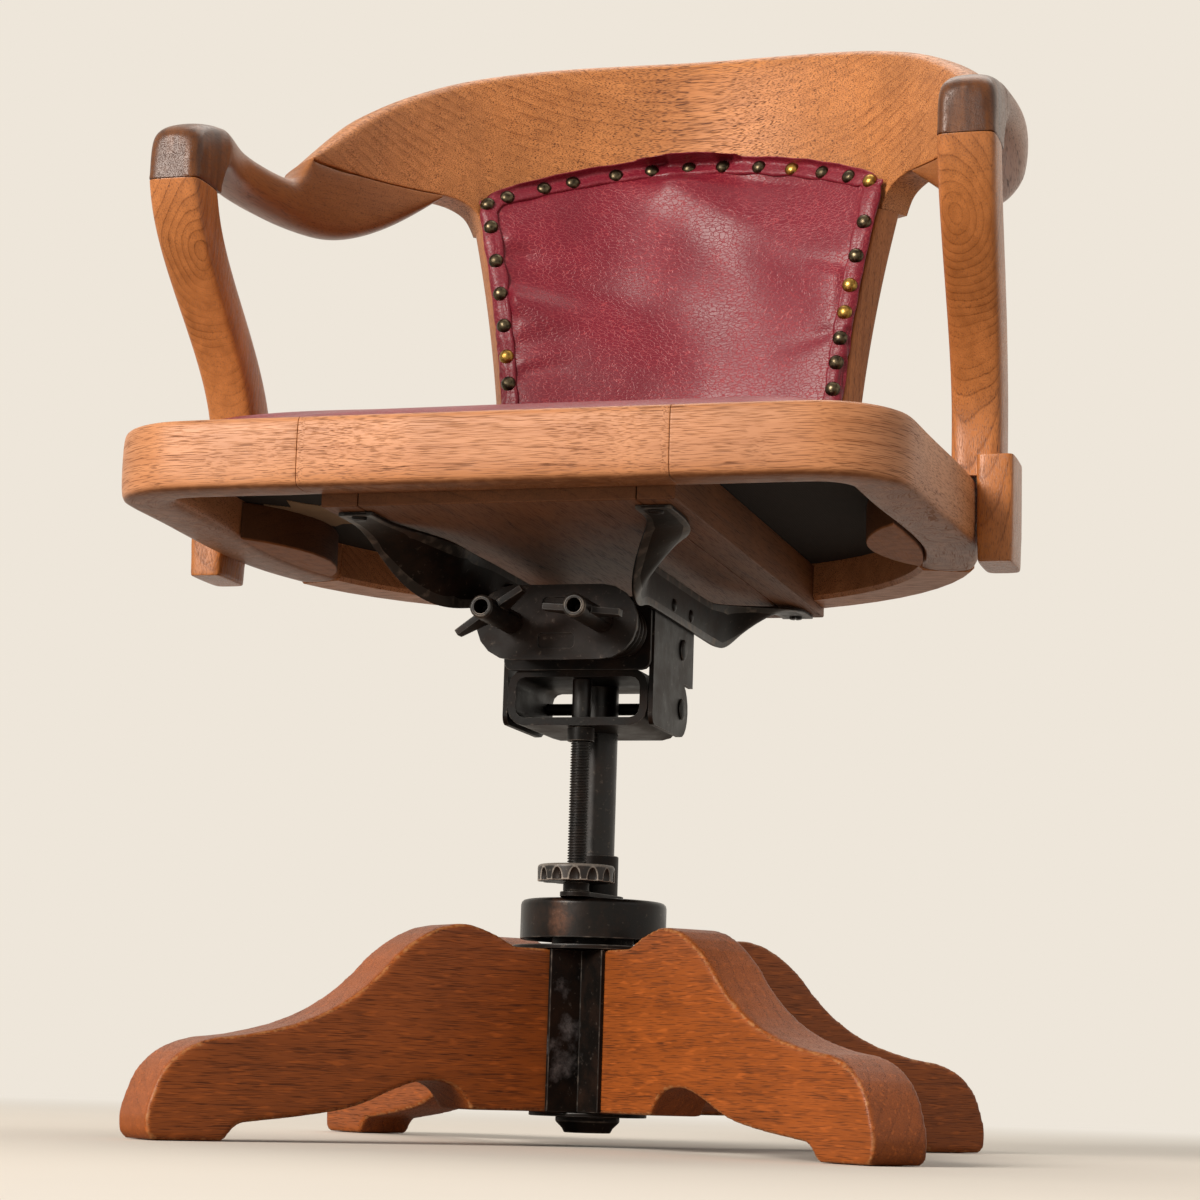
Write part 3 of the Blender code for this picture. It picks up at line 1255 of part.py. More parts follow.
def build_arms():
    """Arms with a turned-down knuckle in front and a feathered end under the crest rail."""
    inner_x, outer_x, front, rear = arm_post_at(ARM_POST_TOP)
    foot = ARM_POST_TOP + GAP

    def knuckle_top(y):
        share = min(max((front + KNUCKLE_RUN - y) / KNUCKLE_RUN, 0), 1)
        return ARM_TOP - KNUCKLE_FALL * (1 - math.sqrt(1 - share**2))

    def front_bottom(y):
        share = min(max((y - rear) / KNUCKLE_FILLET, 0), 1)
        return blend(foot, ARM_BOTTOM, math.sin(math.pi / 2 * share))

    places = [front + ARM_POST_EDGE * share for share in (0, 0.13, 0.5, 1)]
    places += [blend(front, rear, share) for share in (0.35, 0.6, 1)]
    places += [blend(rear, rear + KNUCKLE_FILLET, share) for share in (0.15, 0.4, 0.7, 1)]
    places += [blend(rear + KNUCKLE_FILLET, BOW_CENTRE_Y, share) for share in (0.35, 0.7)]
    front_stations = [(y, front_bottom(y), knuckle_top(y)) for y in places]

    edge = crest_top_at(SCARF_ANGLE)
    bow_stations = [(90, ARM_BOTTOM, ARM_TOP, ARM_EASE), (84, ARM_BOTTOM, ARM_TOP, ARM_EASE)]
    for share in (0, 0.35, 0.6, 0.8, 1):
        angle = SCARF_ANGLE + 2 * SCARF_STEP + SCARF_RUN * (1 - share)
        top = blend(ARM_TOP, edge, share**SCARF_CURVE)
        bow_stations.append((angle, ARM_BOTTOM, top, blend(ARM_EASE, CREST_LOW_EASE, share)))
    under = JOINT_Z - GAP
    for i in range(8):
        angle = blend(SCARF_ANGLE + SCARF_STEP, ARM_END_ANGLE, i / 7)
        lift = max((ARM_LIFT_ANGLE - angle) / (ARM_LIFT_ANGLE - ARM_END_ANGLE), 0) ** ARM_LIFT_CURVE
        bow_stations.append((angle, blend(ARM_BOTTOM, under - ARM_END_HEIGHT, lift), under, CREST_LOW_EASE))

    for side, sign in SIDES:
        rings = []
        for y, bottom, top in front_stations:
            share = smooth_step((y - rear) / (BOW_CENTRE_Y - rear))
            width = blend(outer_x - inner_x, BOW_THICKNESS, share)
            low_ease = blend(CREST_LOW_EASE, ARM_LOW_EASE, smooth_step((y - rear) / KNUCKLE_FILLET))
            inset = knuckle_inset(y - front)
            section = wood_section(inset, width - inset, bottom, top, low_ease, ARM_EASE)
            rings.append([Vector((sign * (arm_front(y) + o), y, z)) for o, z in section])
        for angle, bottom, top, high_ease in bow_stations:
            section = wood_section(0, BOW_THICKNESS, bottom, top, ARM_LOW_EASE, high_ease)
            ring = []
            for offset, z in section:
                flat = bow_point(angle, offset)
                ring.append(Vector((sign * flat.x, flat.y, z)))
            rings.append(ring)
        name = "arm_" + side
        new_piece(name, loft_mesh(name, rings), OAK, seat)


def crest_bottom_at(angle):
    """Flat over the arms, an ear with a round fillet on each stile, and an arch between the ears."""
    angle = abs(angle)
    if angle >= EAR_FILLET_END:
        return JOINT_Z
    if angle >= EAR_OUTER:
        share = (angle - EAR_OUTER) / (EAR_FILLET_END - EAR_OUTER)
        return JOINT_Z - EAR_DROP * (1 - math.sqrt(1 - (1 - share) ** 2))
    if angle >= EAR_INNER:
        return JOINT_Z - EAR_DROP
    return JOINT_Z - EAR_DROP + (CREST_ARCH + EAR_DROP) * (1 - (angle / EAR_INNER) ** 6)


def crest_lean_at(z):
    """How far the crest rail leans back at a height."""
    return CREST_LEAN * max((z - JOINT_Z) / (CREST_TOP - JOINT_Z), 0)


def build_crest():
    half = [SCARF_ANGLE, 66, 60, 54, 49, EAR_FILLET_END]
    half += [blend(EAR_FILLET_END, EAR_OUTER, share) for share in (0.35, 0.65, 0.85, 1)]
    half += [(EAR_OUTER + EAR_INNER) / 2, EAR_INNER, 0.94 * EAR_INNER, 0.85 * EAR_INNER]
    half += [0.7 * EAR_INNER, 0.5 * EAR_INNER, 0.25 * EAR_INNER]
    rings = []
    for angle in [-a for a in half] + [0] + list(reversed(half)):
        bottom = crest_bottom_at(angle)
        top = crest_top_at(angle)
        tall = (top - JOINT_Z) / (CREST_TOP - JOINT_Z)
        section = wood_section(0, BOW_THICKNESS, bottom, top, CREST_LOW_EASE, CREST_EASE)
        ring = []
        for offset, z in section:
            rise = max((z - JOINT_Z) / (CREST_TOP - JOINT_Z), 0)
            thick = blend(1, CREST_TOP_THICKNESS / BOW_THICKNESS, rise)
            flat = bow_point(angle, crest_lean_at(z) * tall + offset * thick)
            ring.append(Vector((flat.x, flat.y, z)))
        rings.append(ring)
    new_piece("crest_rail", loft_mesh("crest_rail", rings), OAK, seat)


def stile_edge(share):
    """Outer front edge of a stile as (x, y) and its turn, at a share of the way up to the joint."""
    x = blend(STILE_FOOT_X, STILE_HEAD_X, min(share, 1) ** STILE_CURVE)
    y = blend(STILE_FOOT_Y, STILE_HEAD_Y, min(share, 1))
    turn = blend(STILE_FOOT_TURN, STILE_HEAD_TURN, min(share, 1))
    return Vector((x, y)), math.radians(turn)


def build_stiles():
    """Back stiles, turned to face the sitter, from the seat ring to the ears of the crest rail."""
    foot = SEAT_TOP + GAP
    head = JOINT_Z - EAR_DROP - GAP
    count = 10
    for side, sign in SIDES:
        rings = []
        for i in range(count + 1):
            z = blend(foot, head, i / count)
            corner, turn = stile_edge((z - foot) / (JOINT_Z - foot))
            inward = Vector((-math.cos(turn), math.sin(turn)))
            back = Vector((math.sin(turn), math.cos(turn)))
            section = rounded_box(0, STILE_WIDTH, 0, STILE_DEPTH, STILE_EASE, 3)
            flat = [corner + inward * u + back * v for u, v in section]
            rings.append([Vector((sign * point.x, point.y, z)) for point in flat])
        name = "back_stile_" + side
        new_piece(name, loft_mesh(name, rings), OAK, seat)


def panel_back(across, up):
    """Back surface of the leather panel: across runs from -1 to 1, up from 0 to 1."""
    foot = SEAT_TOP + GAP
    rise = PANEL_TOP - JOINT_Z
    z = blend(foot, JOINT_Z + rise * (1 - across**2), up)
    corner, turn = stile_edge((z - foot) / (JOINT_Z - foot))
    half = corner.x - PANEL_INSET
    bow = half * math.tan(turn) / 2
    return Vector((half * across, corner.y - PANEL_BEHIND + bow * (1 - across**2) + crest_lean_at(z), z))


def build_back_panel():
    """Leather panel stretched from stile to stile, with a soft crown inside its flat border."""
    columns = [math.sin(math.pi / 2 * (i - 9) / 9) for i in range(19)]
    rows = [(1 - math.cos(math.pi * i / 14)) / 2 for i in range(15)]

    def swell(across, up):
        sides = 1 - abs(across) ** 6
        ends = 1 - abs(2 * up - 1) ** 8
        return PANEL_BORDER + PANEL_CROWN * sides * ends

    rings = []
    for up in rows:
        back = [panel_back(across, up) for across in columns]
        front = [point - Vector((0, swell(across, up), 0)) for point, across in zip(back, columns)]
        rings.append(front + list(reversed(back)))
    new_piece("back_panel", loft_mesh("back_panel", rings), LEATHER, seat)


build_legs()
build_hub()
build_swivel_head()
build_handwheel()
build_column()
AXLE_HOLE = build_yoke()
headed_pin("tilt_axle", AXLE_RADIUS, column, AXLE_Z)
build_springs()
build_rods_and_nuts()
build_cheeks(AXLE_HOLE)
headed_pin("rod_pin", AXLE_RADIUS, seat, SPRING_Z)
build_brackets()
build_board()
build_seat_ring()
build_post_blocks()
build_seat_pad()
build_arm_posts()
build_arms()
build_crest()
build_stiles()
build_back_panel()
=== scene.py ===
import json
import math

import bpy
import numpy as np
from bpy.props import FloatProperty, FloatVectorProperty, IntProperty, PointerProperty
from mathutils import Matrix, Vector
from mathutils.bvhtree import BVHTree


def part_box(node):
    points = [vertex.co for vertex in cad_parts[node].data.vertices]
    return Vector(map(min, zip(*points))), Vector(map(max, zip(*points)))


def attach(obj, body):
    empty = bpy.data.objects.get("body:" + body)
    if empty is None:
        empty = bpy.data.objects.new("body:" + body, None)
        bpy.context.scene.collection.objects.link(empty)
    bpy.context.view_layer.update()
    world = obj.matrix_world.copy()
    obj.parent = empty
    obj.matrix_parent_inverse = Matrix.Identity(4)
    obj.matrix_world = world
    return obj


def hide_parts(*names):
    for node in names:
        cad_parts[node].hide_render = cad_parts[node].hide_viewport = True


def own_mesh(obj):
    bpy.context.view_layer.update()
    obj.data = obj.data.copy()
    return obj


bl_info = {
    "name": "Captain's Chair",
    "version": (1, 0, 0),
    "blender": (4, 5, 0),
    "location": "View3D > Sidebar > Chair",
    "description": "Dresses the packed captain's chair in oak, leather and blackened steel",
    "category": "Object",
}

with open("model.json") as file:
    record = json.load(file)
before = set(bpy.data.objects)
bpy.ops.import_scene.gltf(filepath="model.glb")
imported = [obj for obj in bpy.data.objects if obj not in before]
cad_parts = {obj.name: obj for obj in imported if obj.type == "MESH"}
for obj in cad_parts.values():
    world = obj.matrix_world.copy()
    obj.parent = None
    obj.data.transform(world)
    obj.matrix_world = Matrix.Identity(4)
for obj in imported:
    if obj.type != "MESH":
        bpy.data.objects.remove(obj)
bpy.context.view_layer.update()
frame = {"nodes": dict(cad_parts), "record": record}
NODES = frame["nodes"]
BODY = {node: body for body, nodes in frame["record"]["behaviour"]["bodies"].items() for node in nodes}


def hex_colour(code):
    """Linear colour from an sRGB hex value."""
    shares = [int(code[i : i + 2], 16) / 255 for i in (0, 2, 4)]
    return tuple(s / 12.92 if s <= 0.04045 else ((s + 0.055) / 1.055) ** 2.4 for s in shares)


def colour_property(name, description, code):
    return FloatVectorProperty(
        name=name, description=description, subtype="COLOR", size=3, min=0, max=1, default=hex_colour(code)
    )


def length_property(name, description, default):
    return FloatProperty(
        name=name, description=description, default=default, min=0, unit="LENGTH", precision=5
    )


class ChairColours(bpy.types.PropertyGroup):
    oak: colour_property("Seat oak", "Light early wood of the worn seat ring", "CB8B56")
    oak_late: colour_property("Seat late wood", "Darker late wood of the seat ring", "98572B")
    bow: colour_property("Bow oak", "Early wood of the crest, arms and posts", "B87440")
    bow_late: colour_property("Bow late wood", "Late wood of the crest, arms and posts", "874719")
    leg: colour_property("Leg oak", "Redder, darker stain of the legs", "A25522")
    leg_late: colour_property("Leg late wood", "Late wood of the legs", "6B3413")
    underside: colour_property("Raw oak", "Unwaxed wood under the seat", "80502F")
    patina: colour_property("Hand patina", "What dark wax leaves of the colour where hands rest", "8C8480")
    leather: colour_property("Leather", "Burgundy top coat", "761A2B")
    leather_line: colour_property("Leather crackle", "Lighter base showing in the fine creases", "B0464A")
    black: colour_property("Blackened steel", "Black finish on the mechanism", "0E0B09")
    bare: colour_property("Worn steel", "Steel where the black has rubbed off", "7A7067")
    brass: colour_property("Nail brass", "Bright top of the polished nails", "B08A45")
    backdrop: colour_property("Backdrop", "Pale floor and surround", "EEE6DA")


class ChairSizes(bpy.types.PropertyGroup):
    wood_ease: length_property("Wood easing", "Width of the eased edge at the wood's joints", 0.0007)
    sawn_ease: length_property("Sawn easing", "Width of the eased edge of square-sawn oak", 0.0012)
    leg_voxel: length_property("Leg grain size", "Step of the worn leg surface", 0.0018)
    steel_ease: length_property("Steel easing", "Width of the worn edge on steel", 0.0006)
    thread_pitch: length_property("Thread pitch", "Rise of the lift screw in one turn", 0.00185)
    thread_depth: length_property("Thread depth", "Depth of the lift screw's thread", 0.0012)
    nail_radius: length_property("Nail radius", "Radius of a dome nail", 0.0060)
    nail_height: length_property("Nail height", "Height of a dome nail", 0.0040)
    border_width: length_property("Border width", "Width of the nailed leather border", 0.0135)
    pad_voxel: length_property("Pad step", "Mesh step of the stuffed leather", 0.005)
    spring_steps: IntProperty(name="Spring steps", description="Faces round one curl", default=32, min=8)


def chair_sizes():
    return bpy.context.scene.chair_sizes


def chair_colours():
    return bpy.context.scene.chair_colours


# Gap between pieces of the model that are glued, screwed or set against each other.
FIT_GAP = 0.0003

# Points of a mesh that lie closer than this are one.
MERGE = 0.00002

# Frames of cloth simulation in which a pad is stuffed.
STUFFING_FRAMES = 20

# Places on the chair, from the model's own levels.
SEAT_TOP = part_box("seat_front_rail")[1].z
BOW_CENTRE_Y = -0.030
BOW_THICKNESS = 0.028
SPRING_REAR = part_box("spring_seat_plate")[0].y
SPRING_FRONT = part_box("spring_cap_plate")[1].y
SPRING_LINE = (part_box("spring_cap_plate")[0].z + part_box("spring_cap_plate")[1].z) / 2
SPRING_SPREAD = 0.031
SPRING_RADIUS = 0.0163
SPRING_WIRE = 0.0024
SPRING_CURLS = 5
PANEL_FOOT = SEAT_TOP + FIT_GAP
PANEL_JOINT = 0.7255
PANEL_ARCH = 0.0395
PANEL_FOOT_HALF = 0.1285
PANEL_HEAD_HALF = 0.1625

# Nails: heights of the side ones and places of the top ones. The last four of each side are hidden by the
# seat and follow the same spacing. Their inset is a share of the border's width.
NAILS_LEFT = (0.7213, 0.7013, 0.6731, 0.6460, 0.6198, 0.5947, 0.5729, 0.5490, 0.5240, 0.4990, 0.4740)
NAILS_RIGHT = (0.6903, 0.6635, 0.6405, 0.6193, 0.5991, 0.5802, 0.5597, 0.5370, 0.5130, 0.4890, 0.4660)
NAILS_TOP = (-0.1401, -0.1142, -0.0933, -0.0613, -0.0334, -0.0039, 0.0239, 0.0542, 0.0824, 0.1086, 0.1317,
             0.1497)
NAIL_INSET = 0.55


def pick(*pieces):
    """Selects these pieces alone, with the first one active."""
    if bpy.context.mode != "OBJECT":
        bpy.ops.object.mode_set(mode="OBJECT")
    bpy.ops.object.select_all(action="DESELECT")
    for piece in pieces:
        piece.select_set(True)
    bpy.context.view_layer.objects.active = pieces[0]


def start_fresh():
    """Deselects everything, ready for a new primitive."""
    if bpy.context.mode != "OBJECT":
        bpy.ops.object.mode_set(mode="OBJECT")
    bpy.ops.object.select_all(action="DESELECT")


def edit(select=True):
    bpy.ops.object.mode_set(mode="EDIT")
    bpy.ops.mesh.select_mode(type="VERT")
    bpy.ops.mesh.select_all(action="SELECT" if select else "DESELECT")


def edit_faces(piece, wanted):
    """Opens a piece in edit mode with only the wanted faces selected."""
    pick(piece)
    edit(False)
    bpy.ops.mesh.select_mode(type="FACE")
    done()
    for face in piece.data.polygons:
        face.select = wanted(face)
    bpy.ops.object.mode_set(mode="EDIT")


def done():
    bpy.ops.object.mode_set(mode="OBJECT")


def face_outwards():
    """Turns the faces of the active piece outwards."""
    edit()
    bpy.ops.mesh.normals_make_consistent(inside=False)
    done()


def flip_faces():
    edit()
    bpy.ops.mesh.flip_normals()
    done()


def modify(piece, kind, **settings):
    """Gives a piece a modifier with its settings, and applies it."""
    modifier = piece.modifiers.new(kind.lower(), kind)
    for name, value in settings.items():
        setattr(modifier, name, value)
    pick(piece)
    bpy.ops.object.modifier_apply(modifier=modifier.name)


def cut_away(piece, tool):
    """Cuts a tool out of a piece and removes the tool."""
    modify(piece, "BOOLEAN", operation="DIFFERENCE", solver="EXACT", object=tool)
    bpy.data.objects.remove(tool)


def settle(piece, name):
    """Names a new piece and puts its place into its mesh."""
    pick(piece)
    bpy.ops.object.transform_apply(location=True, rotation=True, scale=True)
    piece.name = name
    piece.data.name = name
    return piece


def copy_of(node, name):
    """Copy of a CAD node as a new piece, its loose triangles merged into one skin."""
    piece = bpy.data.objects.new(name, NODES[node].data.copy())
    bpy.context.scene.collection.objects.link(piece)
    piece.data.materials.clear()
    pick(piece)
    bpy.ops.mesh.customdata_custom_splitnormals_clear()
    edit()
    bpy.ops.mesh.remove_doubles(threshold=MERGE)
    done()
    return piece


def wear_material(piece, *materials):
    piece.data.materials.clear()
    for material in materials:
        piece.data.materials.append(material)


def stand_for(piece, node):
    """The piece takes a node's place on its body and shows in its stead."""
    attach(piece, BODY[node])
    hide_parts(node)


def place_array(mesh):
    place = np.empty(len(mesh.vertices) * 3)
    mesh.vertices.foreach_get("co", place)
    return place.reshape(-1, 3)


def normal_array(mesh):
    normal = np.empty(len(mesh.vertices) * 3)
    mesh.vertices.foreach_get("normal", normal)
    return normal.reshape(-1, 3)


def set_places(mesh, place):
    mesh.vertices.foreach_set("co", np.ascontiguousarray(place).ravel())
    mesh.update()


def ease_in(share):
    """Smooth step from 0 to 1, for arrays."""
    share = np.clip(share, 0, 1)
    return share**2 * (3 - 2 * share)


def group_points(piece, name, chosen):
    group = piece.vertex_groups.new(name=name)
    group.add([int(i) for i in np.nonzero(chosen)[0]], 1.0, "REPLACE")


def soften(piece, chosen, rounds):
    """Rounds over the chosen points of a piece."""
    group_points(piece, "soft", chosen)
    modify(piece, "SMOOTH", iterations=rounds, vertex_group="soft")
    piece.vertex_groups.clear()


def follow_ring(pieces, steps=240):
    """Stores the attribute grain on bent rails: depth in from the ring's outline, height, and length along.

    The outline is taken in steps round the ring, from the points that reach furthest out.
    """
    every = np.concatenate([place_array(piece.data) for piece in pieces])
    middle = (every[:, 1].min() + every[:, 1].max()) / 2
    angle = np.arctan2(every[:, 0], middle - every[:, 1])
    reach = np.zeros(steps)
    np.maximum.at(reach, ((angle + math.pi) / math.tau * steps).astype(int) % steps,
                  np.hypot(every[:, 0], every[:, 1] - middle))
    turn = (np.arange(steps) + 0.5) / steps * math.tau - math.pi
    reach = np.interp(turn, turn[reach > 0], reach[reach > 0])
    outline = np.stack([reach * np.sin(turn), middle - reach * np.cos(turn)], 1)
    run = outline[1:] - outline[:-1]
    size = np.linalg.norm(run, axis=1)
    begin = np.concatenate([[0], np.cumsum(size)[:-1]])
    for piece in pieces:
        place = place_array(piece.data)
        off = place[:, None, :2] - outline[None, :-1]
        share = np.clip((off * run).sum(2) / size**2, 0, 1)
        away = np.linalg.norm(off - share[:, :, None] * run, axis=2)
        nearest = away.argmin(1)
        rows = np.arange(len(place))
        length = begin[nearest] + share[rows, nearest] * size[nearest]
        grain = np.stack([away[rows, nearest], place[:, 2], length], 1)
        attribute = piece.data.attributes.new("grain", "FLOAT_VECTOR", "POINT")
        attribute.data.foreach_set("vector", grain.astype(np.float32).ravel())


def mark_wear(piece, rounds):
    """Stores in the attribute wear how far each point stands out of its surroundings, from 0 to 1."""
    mesh = piece.data
    place = place_array(mesh)
    ends = np.empty(len(mesh.edges) * 2, np.int64)
    mesh.edges.foreach_get("vertices", ends)
    ends = ends.reshape(-1, 2)
    degree = np.bincount(ends.ravel(), minlength=len(place))[:, None]
    soft = place.copy()
    for _ in range(rounds):
        total = np.zeros_like(soft)
        np.add.at(total, ends[:, 0], soft[ends[:, 1]])
        np.add.at(total, ends[:, 1], soft[ends[:, 0]])
        soft = total / degree
    proud = ((place - soft) * normal_array(mesh)).sum(1)
    wear = np.clip(proud / np.percentile(proud, 98), 0, 1)
    attribute = mesh.attributes.new("wear", "FLOAT", "POINT")
    attribute.data.foreach_set("value", wear.astype(np.float32))


def plug(tree, node, inputs):
    """Links each input that is given a socket, and sets the others."""
    for name, value in inputs.items():
        socket = node.inputs[name]
        if isinstance(value, bpy.types.NodeSocket):
            tree.links.new(value, socket)
        else:
            socket.default_value = (*value, 1) if socket.type == "RGBA" else value


def add(tree, kind, inputs, output=None, stops=(), **settings):
    """Adds a shader node and gives an output of it: the named one, or else the first one in use.

    Stops are a colour ramp's, each a place and a grey level.
    """
    node = tree.nodes.new("ShaderNode" + kind)
    for name, value in settings.items():
        setattr(node, name, value)
    for index, (place, level) in enumerate(stops):
        elements = node.color_ramp.elements
        element = elements[index] if index < len(elements) else elements.new(place)
        element.position = place
        element.color = (level, level, level, 1)
    plug(tree, node, inputs)
    return node.outputs[output] if output else next(socket for socket in node.outputs if socket.enabled)


def new_material(name):
    material = bpy.data.materials.new(name)
    material.use_nodes = True
    tree = material.node_tree
    return material, tree, tree.nodes["Principled BSDF"], add(tree, "TexCoord", {}, "Object")


def shade(colour, *factors):
    """Colour times one factor, or times one for each channel."""
    return tuple(min(c * f, 1) for c, f in zip(colour, factors * 3))


def grain_turn(direction):
    """Turn that lays a grain direction along the pattern's Z."""
    return Vector(direction).rotation_difference(Vector((0, 0, 1))).to_euler("XYZ")


# The wave texture repeats every 0.314 m over its scale.
WAVE_LENGTH = 0.314


def oak(name, grain, pith, early, late, ring=0.0062, lines=0.55, fleck=0.5, dull=0.42, patina=None,
        edges=None, followed=False, rays=0.0):
    """Sawn oak, stained and waxed.

    Growth rings cut by the surface give cathedral lines, long open pores give short dark dashes, and the wax
    gives a satin gloss that is duller in the pores. The pores are drawn about twice their real 0.3 mm, as
    finer ones would not show. A followed grain runs along the attribute grain of a bent piece.
    """
    material, tree, shader, place = new_material(name)
    laid = add(tree, "Attribute", {}, "Vector", attribute_name="grain") if followed else place
    turned = add(tree, "Mapping", {"Vector": laid, "Location": pith, "Rotation": grain_turn(grain)})
    slow = add(tree, "Mapping", {"Vector": turned, "Scale": (1, 1, 0.22)})
    # A bend of the rings about every 90 mm.
    bend = add(tree, "TexNoise", {"Vector": slow, "Scale": 11, "Detail": 2.0}, "Color")
    centred = add(tree, "VectorMath", {0: bend, 1: (0.5, 0.5, 0.5)}, operation="SUBTRACT")
    moved = add(tree, "VectorMath", {0: centred, "Scale": 0.021}, operation="SCALE")
    bent = add(tree, "VectorMath", {0: slow, 1: moved}, operation="ADD")
    rings = add(tree, "TexWave", {"Vector": bent, "Scale": WAVE_LENGTH / ring, "Distortion": 1.8,
                                  "Detail": 3.0, "Detail Scale": 1.0},
                "Fac", wave_type="RINGS", rings_direction="Z", wave_profile="SAW")
    ring_band = add(tree, "ValToRGB", {"Fac": rings},
                    stops=((0.0, 0.5), (0.08, 0.12), (0.55, 0.2), (0.86, 0.42), (0.96, 1.0), (1.0, 0.7)))
    # The rings stand out in places and fade in others, over about 50 mm.
    places = add(tree, "TexNoise", {"Vector": place, "Scale": 20, "Detail": 1.0})
    clear = add(tree, "ValToRGB", {"Fac": places}, stops=((0.38, 0.25), (0.62, 1.0)))
    ring_line = add(tree, "Math", {0: ring_band, 1: clear}, operation="MULTIPLY")
    # Pores about 0.5 mm wide and 16 mm long.
    long_grain = add(tree, "Mapping", {"Vector": turned, "Scale": (1, 1, 0.032)})
    pores = add(tree, "TexNoise", {"Vector": long_grain, "Scale": 1950, "Detail": 1.0, "Roughness": 0.5})
    dashes = add(tree, "ValToRGB", {"Fac": pores}, stops=((0.52, 0.0), (0.66, 1.0)))
    gathered = add(tree, "Math", {0: dashes, 1: ring_line}, operation="MULTIPLY")
    spread = add(tree, "Math", {0: gathered, 1: dashes}, operation="ADD")
    dark_dash = add(tree, "Math", {0: spread, 1: fleck}, operation="MULTIPLY", use_clamp=True)
    # Streaks of tone about 6 mm wide that run the length of the piece.
    streak_grain = add(tree, "Mapping", {"Vector": turned, "Scale": (1, 1, 0.05)})
    streaks = add(tree, "TexNoise", {"Vector": streak_grain, "Scale": 150, "Detail": 3.0})
    half_ring = add(tree, "Math", {0: ring_line, 1: lines}, operation="MULTIPLY")
    tone = add(tree, "Math", {0: streaks, 1: 0.75, 2: half_ring}, operation="MULTIPLY_ADD")
    shifted = add(tree, "Math", {0: tone, 1: 0.22}, operation="SUBTRACT", use_clamp=True)
    wood = add(tree, "Mix", {"Factor": shifted, "A": early, "B": late}, data_type="RGBA")
    # Cloudy wax and light fading over 80 mm.
    clouds = add(tree, "TexNoise", {"Vector": place, "Scale": 12, "Detail": 2.0})
    pale = add(tree, "ValToRGB", {"Fac": clouds}, stops=((0.3, 0.80), (0.7, 1.08)))
    waxed = add(tree, "Mix", {"Factor": 1.0, "A": wood, "B": pale}, data_type="RGBA",
                blend_type="MULTIPLY")
    colour = add(tree, "Mix", {"Factor": dark_dash, "A": waxed, "B": shade(late, 0.42)}, data_type="RGBA")
    if rays > 0:
        # Medullary rays: paler flecks about 2 mm wide and 12 mm long, aslant to the grain.
        slant = add(tree, "Mapping", {"Vector": turned, "Rotation": (0.3, 0.3, 0), "Scale": (1, 1, 0.16)})
        shine = add(tree, "TexNoise", {"Vector": slant, "Scale": 420, "Detail": 1.0})
        flecks = add(tree, "ValToRGB", {"Fac": shine}, stops=((0.60, 0.0), (0.72, rays)))
        colour = add(tree, "Mix", {"Factor": flecks, "A": colour, "B": shade(early, 1.5)},
                     data_type="RGBA")
    # A patina is a colour laid on towards one end of an axis: hand wax on the arms, the raw underside of the
    # ring, and painted light on the bottom of the post blocks.
    if patina is not None:
        hand, axis, near, far, manner = patina
        along = add(tree, "SeparateXYZ", {"Vector": place}, axis)
        reach = add(tree, "MapRange",
                    {"Value": along, "From Min": near, "From Max": far, "To Min": 1.0, "To Max": 0.0},
                    interpolation_type="SMOOTHSTEP")
        # Wax, and the other colours laid on this way, lie in upright streaks about 8 mm wide.
        upright = add(tree, "Mapping", {"Vector": place, "Scale": (1, 1, 0.16)})
        smears = add(tree, "TexNoise", {"Vector": upright, "Scale": 130, "Detail": 4.0})
        thick = add(tree, "ValToRGB", {"Fac": smears}, stops=((0.36, 0.62), (0.58, 1.0)))
        patchy = add(tree, "Math", {0: reach, 1: thick}, operation="MULTIPLY")
        colour = add(tree, "Mix", {"Factor": patchy, "A": colour, "B": hand}, data_type="RGBA",
                     blend_type=manner)
    if edges is not None:
        worn = add(tree, "Attribute", {}, "Fac", attribute_name="wear")
        # Nicks about 3 mm apart break the pale edge up.
        nicks = add(tree, "TexNoise", {"Vector": place, "Scale": 300, "Detail": 3.0})
        rubbed = add(tree, "Math", {0: worn, 1: nicks}, operation="MULTIPLY")
        edge = add(tree, "ValToRGB", {"Fac": rubbed}, stops=((0.34, 0.0), (0.62, 0.75)))
        colour = add(tree, "Mix", {"Factor": edge, "A": colour, "B": edges}, data_type="RGBA")
    rough = add(tree, "MapRange", {"Value": dark_dash, "To Min": dull, "To Max": dull + 0.25})
    dent = add(tree, "Bump", {"Height": dark_dash, "Strength": 0.35, "Distance": 0.0003}, invert=True)
    plug(tree, shader, {"Base Color": colour, "Roughness": rough, "Normal": dent, "IOR": 1.48,
                        "Specular IOR Level": 0.32})
    return material


